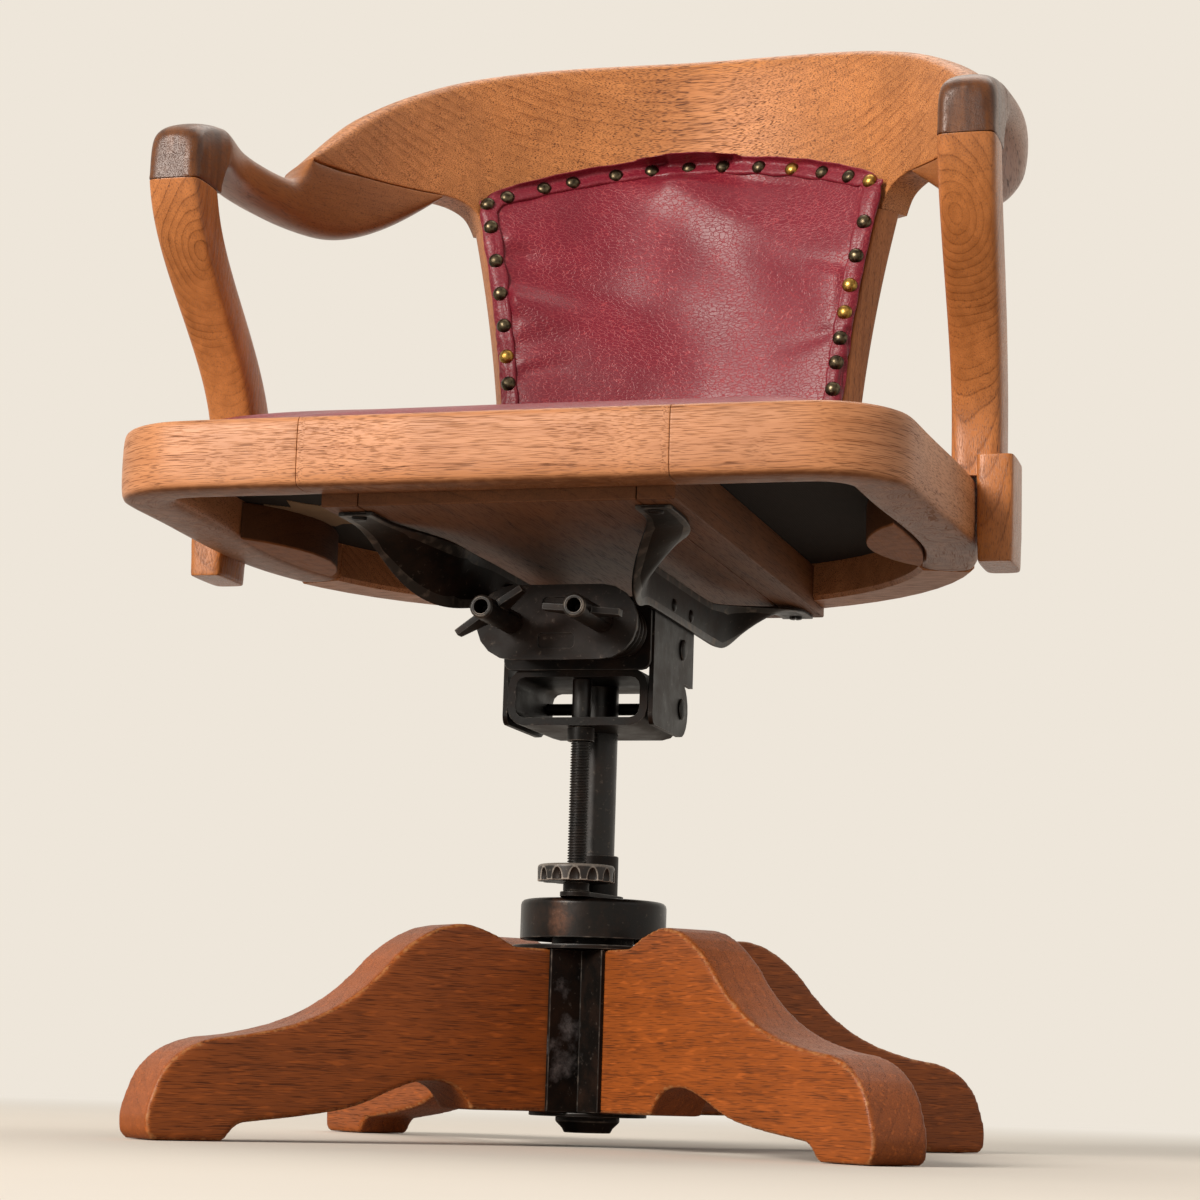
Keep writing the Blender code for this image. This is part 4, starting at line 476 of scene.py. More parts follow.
def burgundy_leather(name, colours, line_share=0.75):
    """Coated upholstery hide: a burgundy top coat with a fine crackle of the paler base, and a soft gloss."""
    material, tree, shader, place = new_material(name)
    # The hide's creases run mostly across, so the crackle cells are about 2.5 by 5 mm.
    laid = add(tree, "Mapping", {"Vector": place, "Scale": (0.5, 1, 1), "Rotation": (0, 0.3, 0)})
    drift = add(tree, "TexNoise", {"Vector": place, "Scale": 90, "Detail": 3.0}, "Color")
    warp = add(tree, "VectorMath", {0: drift, "Scale": 0.007}, operation="SCALE")
    warped = add(tree, "VectorMath", {0: laid, 1: warp}, operation="ADD")
    cells = add(tree, "TexVoronoi", {"Vector": warped, "Scale": 420}, feature="DISTANCE_TO_EDGE")
    line = add(tree, "ValToRGB", {"Fac": cells}, stops=((0.0, 1.0), (0.07, 0.0)))
    # Patches of about 40 mm where the crackle shows most.
    where = add(tree, "TexNoise", {"Vector": place, "Scale": 24, "Detail": 3.0})
    patch = add(tree, "ValToRGB", {"Fac": where}, stops=((0.32, 0.35), (0.62, 1.0)))
    shown = add(tree, "Math", {0: line, 1: patch}, operation="MULTIPLY")
    share = add(tree, "Math", {0: shown, 1: line_share}, operation="MULTIPLY")
    mottled = add(tree, "Mix",
                  {"Factor": where, "A": shade(colours.leather, 0.75), "B": shade(colours.leather, 1.2)},
                  data_type="RGBA")
    colour = add(tree, "Mix", {"Factor": share, "A": mottled, "B": colours.leather_line}, data_type="RGBA")
    rough = add(tree, "MapRange", {"Value": where, "To Min": 0.29, "To Max": 0.38})
    # Pebble grain of about 1.2 mm under the crackle.
    pebbles = add(tree, "TexVoronoi", {"Vector": warped, "Scale": 820}, feature="SMOOTH_F1")
    deep = add(tree, "Math", {0: line, 1: 1.2, 2: pebbles}, operation="MULTIPLY_ADD")
    dent = add(tree, "Bump", {"Height": deep, "Strength": 0.30, "Distance": 0.0004}, invert=True)
    plug(tree, shader, {"Base Color": colour, "Roughness": rough, "Normal": dent, "IOR": 1.5,
                        "Specular IOR Level": 0.30})
    return material


def blackened_steel(name, colours, bare_share=0.35, gloss=0.36, shine=0.14, patch=None, worn_and_highlit_ridges=None):
    """Forged steel with an old black finish, browned by rust and rubbed to bare metal in places.

    A patch is a centre, a size and a colour where the black has worn off to scale or primer. Ridges are the
    colour laid on each raised edge that the attribute wear marks: partly bare metal rubbed there, partly a
    painted highlight.
    """
    material, tree, shader, place = new_material(name)
    # Brown bloom in patches of about 20 mm, and rub marks of about 4 mm.
    bloom = add(tree, "TexNoise", {"Vector": place, "Scale": 48, "Detail": 5.0, "Roughness": 0.62})
    brown = add(tree, "ValToRGB", {"Fac": bloom}, stops=((0.44, 0.0), (0.76, 0.8)))
    base = add(tree, "Mix", {"Factor": brown, "A": colours.black, "B": hex_colour("2C1C13")},
               data_type="RGBA")
    rub = add(tree, "TexNoise", {"Vector": place, "Scale": 240, "Detail": 4.0, "Roughness": 0.7})
    spread = 0.66 - 0.12 * bare_share
    rubbed = add(tree, "ValToRGB", {"Fac": rub}, stops=((spread, 0.0), (spread + 0.1, bare_share)))
    if patch is not None:
        centre, size, under = patch
        scale = tuple(1 / s for s in size)
        away = tuple(-c * k for c, k in zip(centre, scale))
        local = add(tree, "Mapping", {"Vector": place, "Location": away, "Scale": scale})
        far = add(tree, "VectorMath", {0: local}, operation="LENGTH")
        ragged = add(tree, "Math", {0: bloom, 1: 1.3, 2: far}, operation="MULTIPLY_ADD")
        near = add(tree, "ValToRGB", {"Fac": ragged}, stops=((0.0, 1.0), (1.0, 0.0)))
        grit = add(tree, "ValToRGB", {"Fac": rub}, stops=((0.34, 0.35), (0.62, 1.0)))
        worn = add(tree, "Math", {0: near, 1: grit}, operation="MULTIPLY")
        strong = add(tree, "Math", {0: worn, 1: 3.0}, operation="MULTIPLY", use_clamp=True)
        base = add(tree, "Mix", {"Factor": strong, "A": base, "B": under}, data_type="RGBA")
    colour = add(tree, "Mix", {"Factor": rubbed, "A": base, "B": colours.bare}, data_type="RGBA")
    # Raised edges take a pale colour: partly bare metal worn there, partly a painted highlight.
    if worn_and_highlit_ridges is not None:
        proud = add(tree, "Attribute", {}, "Fac", attribute_name="wear")
        bright = add(tree, "ValToRGB", {"Fac": proud}, stops=((0.22, 0.0), (0.7, 1.0)))
        colour = add(tree, "Mix", {"Factor": bright, "A": colour, "B": worn_and_highlit_ridges}, data_type="RGBA")
    rough = add(tree, "MapRange", {"Value": bloom, "To Min": gloss - 0.12, "To Max": gloss + 0.28})
    dent = add(tree, "Bump", {"Height": rub, "Strength": 0.16, "Distance": 0.0005})
    plug(tree, shader, {"Base Color": colour, "Metallic": rubbed, "Roughness": rough, "Normal": dent,
                        "Specular IOR Level": shine})
    return material


def bright_edge(name, colours, worn):
    """Steel edges rubbed through the black to dull grey-brown metal."""
    material, tree, shader, place = new_material(name)
    # Rubbed lengths of about 8 mm.
    rub = add(tree, "TexNoise", {"Vector": place, "Scale": 120, "Detail": 4.0})
    share = add(tree, "ValToRGB", {"Fac": rub}, stops=((0.72 - 0.5 * worn, 0.05), (0.9 - 0.4 * worn, 0.85)))
    colour = add(tree, "Mix", {"Factor": share, "A": colours.black, "B": colours.bare}, data_type="RGBA")
    rough = add(tree, "MapRange", {"Value": rub, "To Min": 0.3, "To Max": 0.55})
    plug(tree, shader, {"Base Color": colour, "Metallic": share, "Roughness": rough})
    return material


def nail_brass(name, high, low):
    """Pressed brass dome: antiqued brown, with the polish left on its top."""
    material, tree, shader, place = new_material(name)
    # Tarnish in blots of about 3 mm.
    blots = add(tree, "TexNoise", {"Vector": place, "Scale": 330, "Detail": 3.0})
    share = add(tree, "ValToRGB", {"Fac": blots}, stops=((0.35, 0.0), (0.65, 1.0)))
    colour = add(tree, "Mix", {"Factor": share, "A": high, "B": low}, data_type="RGBA")
    rough = add(tree, "MapRange", {"Value": share, "To Min": 0.24, "To Max": 0.42})
    plug(tree, shader, {"Base Color": colour, "Roughness": rough, "Metallic": 1.0})
    return material


def bottoming_cloth(name, colour, thread):
    """Plain-woven bottoming cloth: matt, with threads crossing every couple of millimetres."""
    material, tree, shader, place = new_material(name)
    # The real threads lie 0.6 mm apart. They are drawn 1.8 mm apart so that they show.
    warp, weft = (
        add(tree, "TexWave", {"Vector": place, "Scale": WAVE_LENGTH / thread, "Distortion": 0.6}, "Fac",
            wave_type="BANDS", bands_direction=direction)
        for direction in "XY"
    )
    weave = add(tree, "Math", {0: warp, 1: weft}, operation="MULTIPLY")
    dust = add(tree, "TexNoise", {"Vector": place, "Scale": 30, "Detail": 4.0})
    mixed = add(tree, "Math", {0: weave, 1: dust}, operation="MULTIPLY")
    tone = add(tree, "Mix", {"Factor": mixed, "A": shade(colour, 0.55), "B": shade(colour, 1.9)},
               data_type="RGBA")
    dent = add(tree, "Bump", {"Height": weave, "Strength": 0.4, "Distance": 0.0004})
    plug(tree, shader, {"Base Color": tone, "Normal": dent, "Roughness": 0.92})
    return material


def ease_edges(piece, angle, width, **settings):
    """Rounds the edges of a piece that are sharper than an angle in degrees."""
    modify(piece, "BEVEL", limit_method="ANGLE", angle_limit=math.radians(angle), width=width, segments=2,
           **settings)


def shade_flats(piece, angle):
    """Shades a piece smooth below an angle in degrees, and keeps its flat faces flat to the eye."""
    bpy.ops.object.shade_smooth_by_angle(angle=math.radians(angle))
    modify(piece, "WEIGHTED_NORMAL", keep_sharp=True)


def quad_skin(node, name, face_angle, shape_angle):
    """Copy of a CAD node with its triangles paired to quads."""
    piece = copy_of(node, name)
    edit()
    bpy.ops.mesh.tris_convert_to_quads(face_threshold=math.radians(face_angle),
                                       shape_threshold=math.radians(shape_angle))
    done()
    return piece


def flat_skin(node, name, angle):
    """Copy of a CAD node with the triangles of each flat face merged."""
    piece = copy_of(node, name)
    edit()
    bpy.ops.mesh.dissolve_limited(angle_limit=math.radians(angle))
    done()
    return piece


def smooth_oak(node, material, width=None):
    """Shaped oak piece: the node's skin as quads, its joint edges eased, then subdivided smooth."""
    piece = quad_skin(node, node + "_wood", 45, 70)
    ease_edges(piece, 52, width or chair_sizes().wood_ease)
    modify(piece, "SUBSURF", levels=2, render_levels=2)
    bpy.ops.object.shade_smooth()
    wear_material(piece, material)
    stand_for(piece, node)
    return piece


def sawn_oak(node, material):
    """Square-sawn oak piece with its sharp edges taken off."""
    piece = flat_skin(node, node + "_wood", 1)
    ease_edges(piece, 35, chair_sizes().sawn_ease)
    shade_flats(piece, 32)
    wear_material(piece, material)
    stand_for(piece, node)


def worn_oak(node, material):
    """Sawn oak leg with its edges softened by wear, and the wear stored for its finish."""
    piece = copy_of(node, node + "_wood")
    modify(piece, "REMESH", mode="VOXEL", voxel_size=chair_sizes().leg_voxel)
    modify(piece, "SMOOTH", iterations=5)
    bpy.ops.object.shade_smooth()
    mark_wear(piece, rounds=3)
    wear_material(piece, material)
    stand_for(piece, node)


def eased_steel(node, material, edge, width=None):
    """Steel piece with a narrow worn bevel along its edges."""
    piece = flat_skin(node, node + "_metal", 0.5)
    wear_material(piece, material, edge)
    ease_edges(piece, 38, width or chair_sizes().steel_ease, material=1)
    shade_flats(piece, 34)
    stand_for(piece, node)


def twisted_steel(node, material, edge):
    """Twisted strap: the node's skin as quads, its edges eased, then subdivided smooth."""
    piece = quad_skin(node, node + "_metal", 40, 80)
    wear_material(piece, material, edge)
    ease_edges(piece, 50, chair_sizes().steel_ease * 0.7, material=1)
    modify(piece, "SUBSURF", levels=2, render_levels=2)
    bpy.ops.object.shade_smooth()
    stand_for(piece, node)


def stuff(piece, pinned, pressure, most):
    """Fills a pad by cloth simulation under pressure. Pinned points stay, and none moves more than most."""
    rest = place_array(piece.data)
    group_points(piece, "pinned", pinned)
    cloth = piece.modifiers.new("stuffing", "CLOTH")
    cloth.settings.use_pressure = True
    cloth.settings.uniform_pressure_force = pressure
    cloth.settings.effector_weights.gravity = 0
    cloth.settings.vertex_group_mass = "pinned"
    cloth.settings.tension_stiffness = 25
    cloth.settings.compression_stiffness = 25
    cloth.settings.bending_stiffness = 6.0
    cloth.collision_settings.use_collision = False
    scene = bpy.context.scene
    for number in range(1, STUFFING_FRAMES + 1):
        scene.frame_set(number)
    pick(piece)
    bpy.ops.object.modifier_apply(modifier=cloth.name)
    scene.frame_set(1)
    moved = place_array(piece.data) - rest
    length = np.linalg.norm(moved, axis=1, keepdims=True)
    set_places(piece.data, rest + moved * np.minimum(1, most / np.maximum(length, 1e-9)))
    piece.vertex_groups.clear()


def fair_hide(piece):
    """Fairs a stuffed hide and halves its mesh step."""
    modify(piece, "SMOOTH", iterations=4)
    modify(piece, "SUBSURF", levels=1, render_levels=1)


def panel_half(z):
    """Half width of the leather back at a height."""
    rise = min(max((z - PANEL_FOOT) / (PANEL_JOINT - PANEL_FOOT), 0), 1)
    return PANEL_FOOT_HALF + (PANEL_HEAD_HALF - PANEL_FOOT_HALF) * rise**2


def panel_top(x):
    """Height of the leather back's top edge."""
    return PANEL_JOINT + PANEL_ARCH * (1 - (x / PANEL_HEAD_HALF) ** 2)


def nail_spots(inset):
    """Side, number and place on the panel of every nail, at an inset from the panel's edge."""
    spots = [("left", i, inset - panel_half(z), z) for i, z in enumerate(NAILS_LEFT)]
    spots += [("right", i, panel_half(z) - inset, z) for i, z in enumerate(NAILS_RIGHT)]
    spots += [("top", i, x, panel_top(x) - inset) for i, x in enumerate(NAILS_TOP)]
    return spots


# Where a search for the front of the leather back starts, and about where the back is.
WELL_IN_FRONT = -0.4
NEAR_BACK = 0.17


def surface_of(piece):
    """Way to find the front of a piece: a function from x and z to a point and its outward normal."""
    tree = BVHTree.FromObject(piece, bpy.context.evaluated_depsgraph_get())

    def front(x, z):
        point, normal, _, _ = tree.ray_cast(Vector((x, WELL_IN_FRONT, z)), Vector((0, 1, 0)))
        if point is None:
            point, normal, _, _ = tree.find_nearest(Vector((x, NEAR_BACK, z)))
        return point, normal if normal.y < 0 else -normal

    return front


def dome_nail(sizes):
    """Nail head on the origin, its dome towards -Y: a flattened half sphere with a closed back."""
    start_fresh()
    bpy.ops.mesh.primitive_uv_sphere_add(segments=14, ring_count=8, radius=1, location=(0, 0, 0))
    nail = bpy.context.object
    edit()
    bpy.ops.mesh.bisect(plane_co=(0, 0, 0), plane_no=(0, 0, 1), clear_inner=True, use_fill=True)
    done()
    edit()
    bpy.ops.transform.resize(value=(sizes.nail_radius, sizes.nail_radius, sizes.nail_height),
                             center_override=(0, 0, 0))
    bpy.ops.transform.rotate(value=math.radians(-90), orient_axis="X", center_override=(0, 0, 0))
    done()
    middle = sum(v.co.y for v in nail.data.vertices) / len(nail.data.vertices)
    if middle > 0:
        edit()
        bpy.ops.transform.mirror(constraint_axis=(False, True, False), center_override=(0, 0, 0))
        bpy.ops.mesh.normals_make_consistent(inside=False)
        done()
    pick(nail)
    bpy.ops.object.shade_smooth_by_angle(angle=math.radians(60))
    return nail


def facing_turn(normal):
    """Turn that points a piece's -Y along a normal."""
    return Vector((0, -1, 0)).rotation_difference(normal).to_matrix().to_4x4()


def copy_at(model, name, place):
    """Copy of a modelled piece with its own mesh, moved to its place."""
    copy = bpy.data.objects.new(name, model.data.copy())
    bpy.context.scene.collection.objects.link(copy)
    copy.data.transform(place)
    return copy


def joined(pieces, name):
    """One piece made of several."""
    pick(*pieces)
    bpy.ops.object.join()
    piece = bpy.context.object
    piece.name = name
    piece.data.name = name
    return piece


class CHAIR_OT_bow(bpy.types.Operator):
    """Makes the crest rail and the two arms in smooth waxed oak"""

    bl_idname = "chair.bow"
    bl_label = "Crest rail and arms"

    # The flat on an arm that carries the crest, and the rise in front of it, which is rounded over.
    FLAT_SKIN = 0.0015
    FLAT_START = 0.006
    RISE_LENGTH = 0.045
    RISE_HEIGHT = 0.020

    # Where the knuckle ends, and its flat foot on the post.
    KNUCKLE_BACK = -0.10
    FOOT_SKIN = 0.0025

    # Where the crest feathers out on an arm, both are rounded down on their outer side: how far, over which
    # length in front of the tip and behind it, and how deep that reaches.
    ROLL = 0.011
    ROLL_FRONT = 0.034
    ROLL_BACK = 0.060
    ROLL_DEPTH = 0.026

    def execute(self, context):
        colours = chair_colours()
        crest = oak("oak_waxed_crest", (1, 0, 0.03), (0.02, 0.30, 0), shade(colours.bow, 1.34, 1.46, 1.56),
                    colours.bow_late, ring=0.0085, lines=0.5, fleck=1.0, dull=0.33)
        self.round_scarf(smooth_oak("crest_rail", crest))
        for side, lean in (("left", 0.12), ("right", -0.12)):
            arm = oak(f"oak_waxed_arm_{side}", (lean, 1, 0), (0.13, 0.05, 0), shade(colours.bow, 0.74),
                      shade(colours.bow_late, 0.68), ring=0.006, lines=0.3, fleck=0.5, dull=0.28,
                      patina=(colours.patina, "Y", -0.13, -0.04, "MULTIPLY"))
            piece = smooth_oak("arm_" + side, arm)
            _, y, z = place_array(piece.data).T
            high = z > z.max() - self.FLAT_SKIN
            tip = y[high].min()
            seated = high & (y > tip + self.FLAT_START)
            knuckle = y < self.KNUCKLE_BACK
            foot = knuckle & (z < z[knuckle].min() + self.FOOT_SKIN)
            rise = ~seated & (abs(y - tip) < self.RISE_LENGTH) & (z > z.max() - self.RISE_HEIGHT)
            soften(piece, ~seated & ~foot & knuckle, rounds=36)
            soften(piece, rise, rounds=100)
            self.round_scarf(piece)
        return {"FINISHED"}

    def round_scarf(self, piece):
        """Rounds the outer side of the crest or an arm down at the scarf, in the same way for both."""
        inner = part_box("arm_right")[1].x - BOW_THICKNESS
        tip = math.acos((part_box("crest_rail")[0].y - BOW_CENTRE_Y) / inner)
        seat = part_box("arm_right")[1].z
        place = place_array(piece.data)
        x, y, z = place.T
        behind = (tip - np.arctan2(abs(x), y - BOW_CENTRE_Y)) * inner
        along = np.where(behind < 0, 1 + behind / self.ROLL_FRONT, 1 - behind / self.ROLL_BACK)
        high = (z - seat + self.ROLL_DEPTH) / self.ROLL_DEPTH
        outward = np.clip((np.hypot(x, y - BOW_CENTRE_Y) - inner) / BOW_THICKNESS, 0, 1)
        place[:, 2] -= self.ROLL * outward**1.3 * ease_in(along) * ease_in(high)
        set_places(piece.data, place)


class CHAIR_OT_posts(bpy.types.Operator):
    """Makes the arm posts and the back stiles in smooth waxed oak"""

    bl_idname = "chair.posts"
    bl_label = "Arm posts and stiles"

    # Height of the post's foot, which is rounded over.
    FOOT = 0.016

    def execute(self, context):
        colours = chair_colours()
        for side, sign in (("left", -1), ("right", 1)):
            post = oak(f"oak_waxed_post_{side}", (0, 0.12, 1), (-sign * 0.262, 0.20, 0.03),
                       shade(colours.bow, 1.2), shade(colours.bow_late, 0.62), ring=0.0046, lines=0.5,
                       fleck=0.4, dull=0.27)
            piece = smooth_oak("arm_post_" + side, post)
            height = place_array(piece.data)[:, 2]
            soften(piece, height < height.min() + self.FOOT, rounds=24)
            stile = oak(f"oak_waxed_stile_{side}", (0, 0, 1), (0.05 * sign, 0.02, 0), colours.bow,
                        colours.bow_late, ring=0.006)
            smooth_oak("back_stile_" + side, stile)
        return {"FINISHED"}


class CHAIR_OT_seat_ring(bpy.types.Operator):
    """Makes the four seat rails, the mounting board and the post blocks in oak"""

    bl_idname = "chair.seat_ring"
    bl_label = "Seat ring and board"

    # The glued joints of the ring are close, so only a hair of their edges is broken.
    JOINT_EASE = 0.0003

    # Heights over the lower edge between which the raw wood underneath the ring ends, and between which
    # the post block's bottom face, painted paler as painted light, ends.
    RING_RAW = (0.001, 0.004)
    BLOCK_PAINTED_LIGHT = (0.0008, 0.002)

    def execute(self, context):
        colours = chair_colours()
        pale = shade(colours.oak, 1.04, 1.06, 1.3)
        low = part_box("seat_front_rail")[0].z
        raw = (shade(colours.underside, 1.05), "Z", *(low + height for height in self.RING_RAW), "MIX")
        ring = oak("oak_waxed_seat_ring", (0, 0, 1), (0.30, 0.05, 0), pale, colours.oak_late,
                   ring=0.010, lines=0.38, fleck=0.6, dull=0.40, patina=raw, followed=True)
        rails = ("seat_front_rail", "seat_side_rail_left", "seat_side_rail_right")
        follow_ring([smooth_oak(node, ring, width=self.JOINT_EASE) for node in rails])
        rear = oak("oak_waxed_back_rail", (1, 0, 0), (0.1, 0.2, 0), pale, colours.oak_late, fleck=0.75)
        sawn_oak("seat_back_rail", rear)
        board = oak("oak_raw_board", (0, 1, 0), (0.16, -0.02, 0), colours.underside,
                    shade(colours.underside, 0.5), ring=0.009, fleck=0.45, dull=0.55)
        for node in ("mounting_board", "board_strip_left", "board_strip_right"):
            sawn_oak(node, board)
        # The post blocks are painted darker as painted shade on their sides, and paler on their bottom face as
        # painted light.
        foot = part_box("post_block_left")[0].z
        painted_lit_foot = (shade(colours.underside, 1.5), "Z", *(foot + height for height in self.BLOCK_PAINTED_LIGHT), "MIX")
        block = oak("oak_raw_block_painted_shade", (0, 1, 0), (0.05, 0.2, 0), shade(colours.underside, 0.55),
                    shade(colours.underside, 0.35), ring=0.008, fleck=0.4, dull=0.6, patina=painted_lit_foot)
        for node in ("post_block_left", "post_block_right"):
            sawn_oak(node, block)
        return {"FINISHED"}


class CHAIR_OT_legs(bpy.types.Operator):
    """Makes the four sawn legs in redder oak with rubbed edges"""

    bl_idname = "chair.legs"
    bl_label = "Legs"

    def execute(self, context):
        colours = chair_colours()
        for number, corner in enumerate(("front_left", "front_right", "back_left", "back_right")):
            low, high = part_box("leg_" + corner)
            out = (low + high) / 2
            pith = (0.21 + 0.03 * number, 0.045, 0.1 * number)
            leg = oak(f"oak_stained_leg_{corner}", (out.x, out.y, 0), pith, colours.leg, colours.leg_late,
                      ring=0.0095, lines=0.35, fleck=0.6, dull=0.40, edges=hex_colour("B8804F"), rays=0.5)
            worn_oak("leg_" + corner, leg)
        return {"FINISHED"}


class CHAIR_OT_leather_seat(bpy.types.Operator):
    """Stuffs the leather seat"""

    bl_idname = "chair.leather_seat"
    bl_label = "Leather seat"

    # The pad is pinned up to this height over the ring. Its stuffing pushes it out by this much at most.
    PINNED = 0.004
    MOST = 0.007
    PRESSURE = 3.0

    def execute(self, context):
        pad = copy_of("seat_pad", "seat_pad_leather")
        modify(pad, "REMESH", mode="VOXEL", voxel_size=chair_sizes().pad_voxel)
        stuff(pad, place_array(pad.data)[:, 2] < SEAT_TOP + self.PINNED, self.PRESSURE, self.MOST)
        fair_hide(pad)
        bpy.ops.object.shade_smooth()
        wear_material(pad, burgundy_leather("leather_seat_hide", chair_colours()))
        stand_for(pad, "seat_pad")
        return {"FINISHED"}


class CHAIR_OT_leather_back(bpy.types.Operator):
    """Stuffs the leather back and lays a folded border along its sides and its top"""

    bl_idname = "chair.leather_back"
    bl_label = "Leather back"

    # How far the stuffing pushes the hide out at most.
    MOST = 0.004
    PRESSURE = 2.0

    # Limits of the normal's Y: what lies behind the first is pinned, and what lies before the second is front.
    PINNED_FACING = -0.2
    FRONT_FACING = -0.3

    # Soft folds in the hide: where each starts on the panel, which way it runs, its length, depth and width.
    # A depth below 0 is a ridge.
    FOLDS = (
        (-0.146, 0.684, 0.9, -0.35, 0.085, 0.0030, 0.0060),
        (-0.146, 0.657, 1.0, -0.12, 0.120, 0.0046, 0.0070),
        (-0.144, 0.632, 1.0, -0.42, 0.140, 0.0052, 0.0080),
        (-0.140, 0.603, 1.0, 0.10, 0.085, 0.0030, 0.0055),
        (-0.131, 0.578, 1.0, 0.22, 0.070, 0.0022, 0.0040),
        (0.142, 0.655, -1.0, 0.30, 0.070, 0.0022, 0.0045),
        (0.137, 0.607, -1.0, -0.15, 0.075, 0.0022, 0.0045),
        (-0.020, 0.770, -0.05, -1.0, 0.460, -0.0045, 0.0300),
        (-0.030, 0.760, 1.22, -0.9, 0.340, -0.0100, 0.0190),
        (-0.160, 0.650, 1.0, -0.52, 0.300, -0.0085, 0.0170),
        (-0.120, 0.740, 0.25, -1.0, 0.300, -0.0024, 0.0240),
    )

    # Distance from the nailed border over which the folds run out.
    DRAWN = 0.012

    # The border: steps along a side and the top, its thickness, the distance over which a nail draws it
    # down, the lengths of its ripples, how far it stays inside the panel's edge where it is laid on, and
    # where its sides start and end.
    SIDE_STEPS = 80
    TOP_STEPS = 110
    THICKNESS = 0.0017
    NAIL_PULL = 0.0075
    RIPPLE = 0.0031
    WOBBLE = 0.0052
    MARGIN = 0.0008
    FOOT_GAP = 0.004
    HEAD_GAP = 0.010

    # Section of the border, in shares of its half width and thickness: a rolled inner edge with a pressed
    # fold line beside it, then flat to the outer edge.
    SECTION = ((-1.0, -0.2), (-1.0, 0.9), (-0.72, 1.35), (-0.45, 1.0), (-0.1, 1.15), (0.4, 1.2), (0.8, 1.0),
               (1.0, 0.4), (1.0, -0.4))

    def execute(self, context):
        sizes = chair_sizes()
        colours = chair_colours()
        panel = copy_of("back_panel", "back_panel_leather")
        modify(panel, "REMESH", mode="VOXEL", voxel_size=sizes.pad_voxel * 0.7)
        facing = normal_array(panel.data)[:, 1]
        edge = self.edge_distance(panel)
        stuff(panel, (facing > self.PINNED_FACING) | (edge < sizes.border_width), self.PRESSURE, self.MOST)
        soften(panel, (facing < self.FRONT_FACING) & (edge > 0.6 * sizes.border_width), rounds=110)
        fair_hide(panel)
        self.fold(panel)
        bpy.ops.object.shade_smooth()
        wear_material(panel, burgundy_leather("leather_back_hide", colours))
        stand_for(panel, "back_panel")
        border = self.border(panel, sizes)
        wear_material(border, burgundy_leather("leather_border_hide", colours, line_share=0.5))
        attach(border, BODY["back_panel"])
        return {"FINISHED"}

    def edge_distance(self, panel):
        """How far each point lies inside the panel's sides and top."""
        place = place_array(panel.data)
        return np.array([min(panel_half(z) - abs(x), panel_top(x) - z) for x, _, z in place])

    def fold(self, panel):
        """Presses the soft folds into the front of the hide."""
        place = place_array(panel.data)
        front = normal_array(panel.data)[:, 1] < self.FRONT_FACING
        depth = np.zeros(len(place))
        for x, z, along_x, along_z, length, most, wide in self.FOLDS:
            size = math.hypot(along_x, along_z)
            ax, az = along_x / size, along_z / size
            run = (place[:, 0] - x) * ax + (place[:, 2] - z) * az
            off = (place[:, 2] - z) * ax - (place[:, 0] - x) * az
            share = np.clip(run / length, 0, 1)
            fade = (1 - share) ** 1.5 * ease_in(run / (1.3 * wide))
            across = off / (wide * (1 + share))
            # Each fold has a softer one of the other sense beside it.
            depth += most * fade * (np.exp(-(across**2)) - 0.6 * np.exp(-((across - 2) ** 2)))
        depth *= ease_in((self.edge_distance(panel) - 0.7 * chair_sizes().border_width) / self.DRAWN)
        place[front, 1] += depth[front]
        set_places(panel.data, place)

    def border_path(self, half):
        """Middle of the border, up the left side, over the top and down the right side."""
        path = []
        foot = PANEL_FOOT + self.FOOT_GAP
        for step in range(self.SIDE_STEPS + 1):
            z = foot + (PANEL_JOINT - self.HEAD_GAP - foot) * step / self.SIDE_STEPS
            path.append((half - panel_half(z), z))
        side = [(-x, z) for x, z in reversed(path)]
        for step in range(1, self.TOP_STEPS):
            x = (PANEL_HEAD_HALF - 1.6 * half) * (2 * step / self.TOP_STEPS - 1)
            path.append((x, panel_top(x) - half))
        return path + side

    def border(self, panel, sizes):
        """Folded strip of hide along both sides and the top, drawn down at the nails."""
        front = surface_of(panel)
        half = sizes.border_width / 2
        nails = nail_spots(NAIL_INSET * sizes.border_width)
        path = self.border_path(half)
        length = 0.0
        verts = []
        for index, (x, z) in enumerate(path):
            length += math.dist((x, z), path[max(index - 1, 0)])
            before = Vector(path[max(index - 2, 0)])
            after = Vector(path[min(index + 2, len(path) - 1)])
            run = (after - before).normalized()
            outward = Vector((-run.y, run.x))
            nearest = min(math.hypot(x - nx, z - nz) for _, _, nx, nz in nails)
            puff = 1 - math.exp(-((nearest / self.NAIL_PULL) ** 2))
            ripple = 0.55 * puff - 0.15 + 0.08 * math.sin(length / self.RIPPLE)
            for across, height in self.SECTION:
                bulge = 0.14 * puff + 0.05 * math.sin(length / self.WOBBLE + across)
                side = across * half * (1 + (bulge if across < 0 else 0.2 * bulge))
                sx = x + outward.x * side
                sz = z + outward.y * side
                reach = panel_half(sz) - self.MARGIN
                base, lift = front(max(min(sx, reach), -reach), min(sz, panel_top(sx) - self.MARGIN))
                verts.append(Vector((sx, base.y, sz)) + lift * self.THICKNESS * height * (1 + ripple))
        start_fresh()
        bpy.ops.mesh.primitive_grid_add(x_subdivisions=len(self.SECTION) - 1, y_subdivisions=len(path) - 1,
                                        size=1, location=(0, 0, 0))
        strip = settle(bpy.context.object, "back_border")
        set_places(strip.data, np.array(verts))
        face_outwards()
        if normal_array(strip.data)[:, 1].mean() > 0:
            flip_faces()
        modify(strip, "SUBSURF", levels=1, render_levels=1)
        bpy.ops.object.shade_smooth()
        return strip


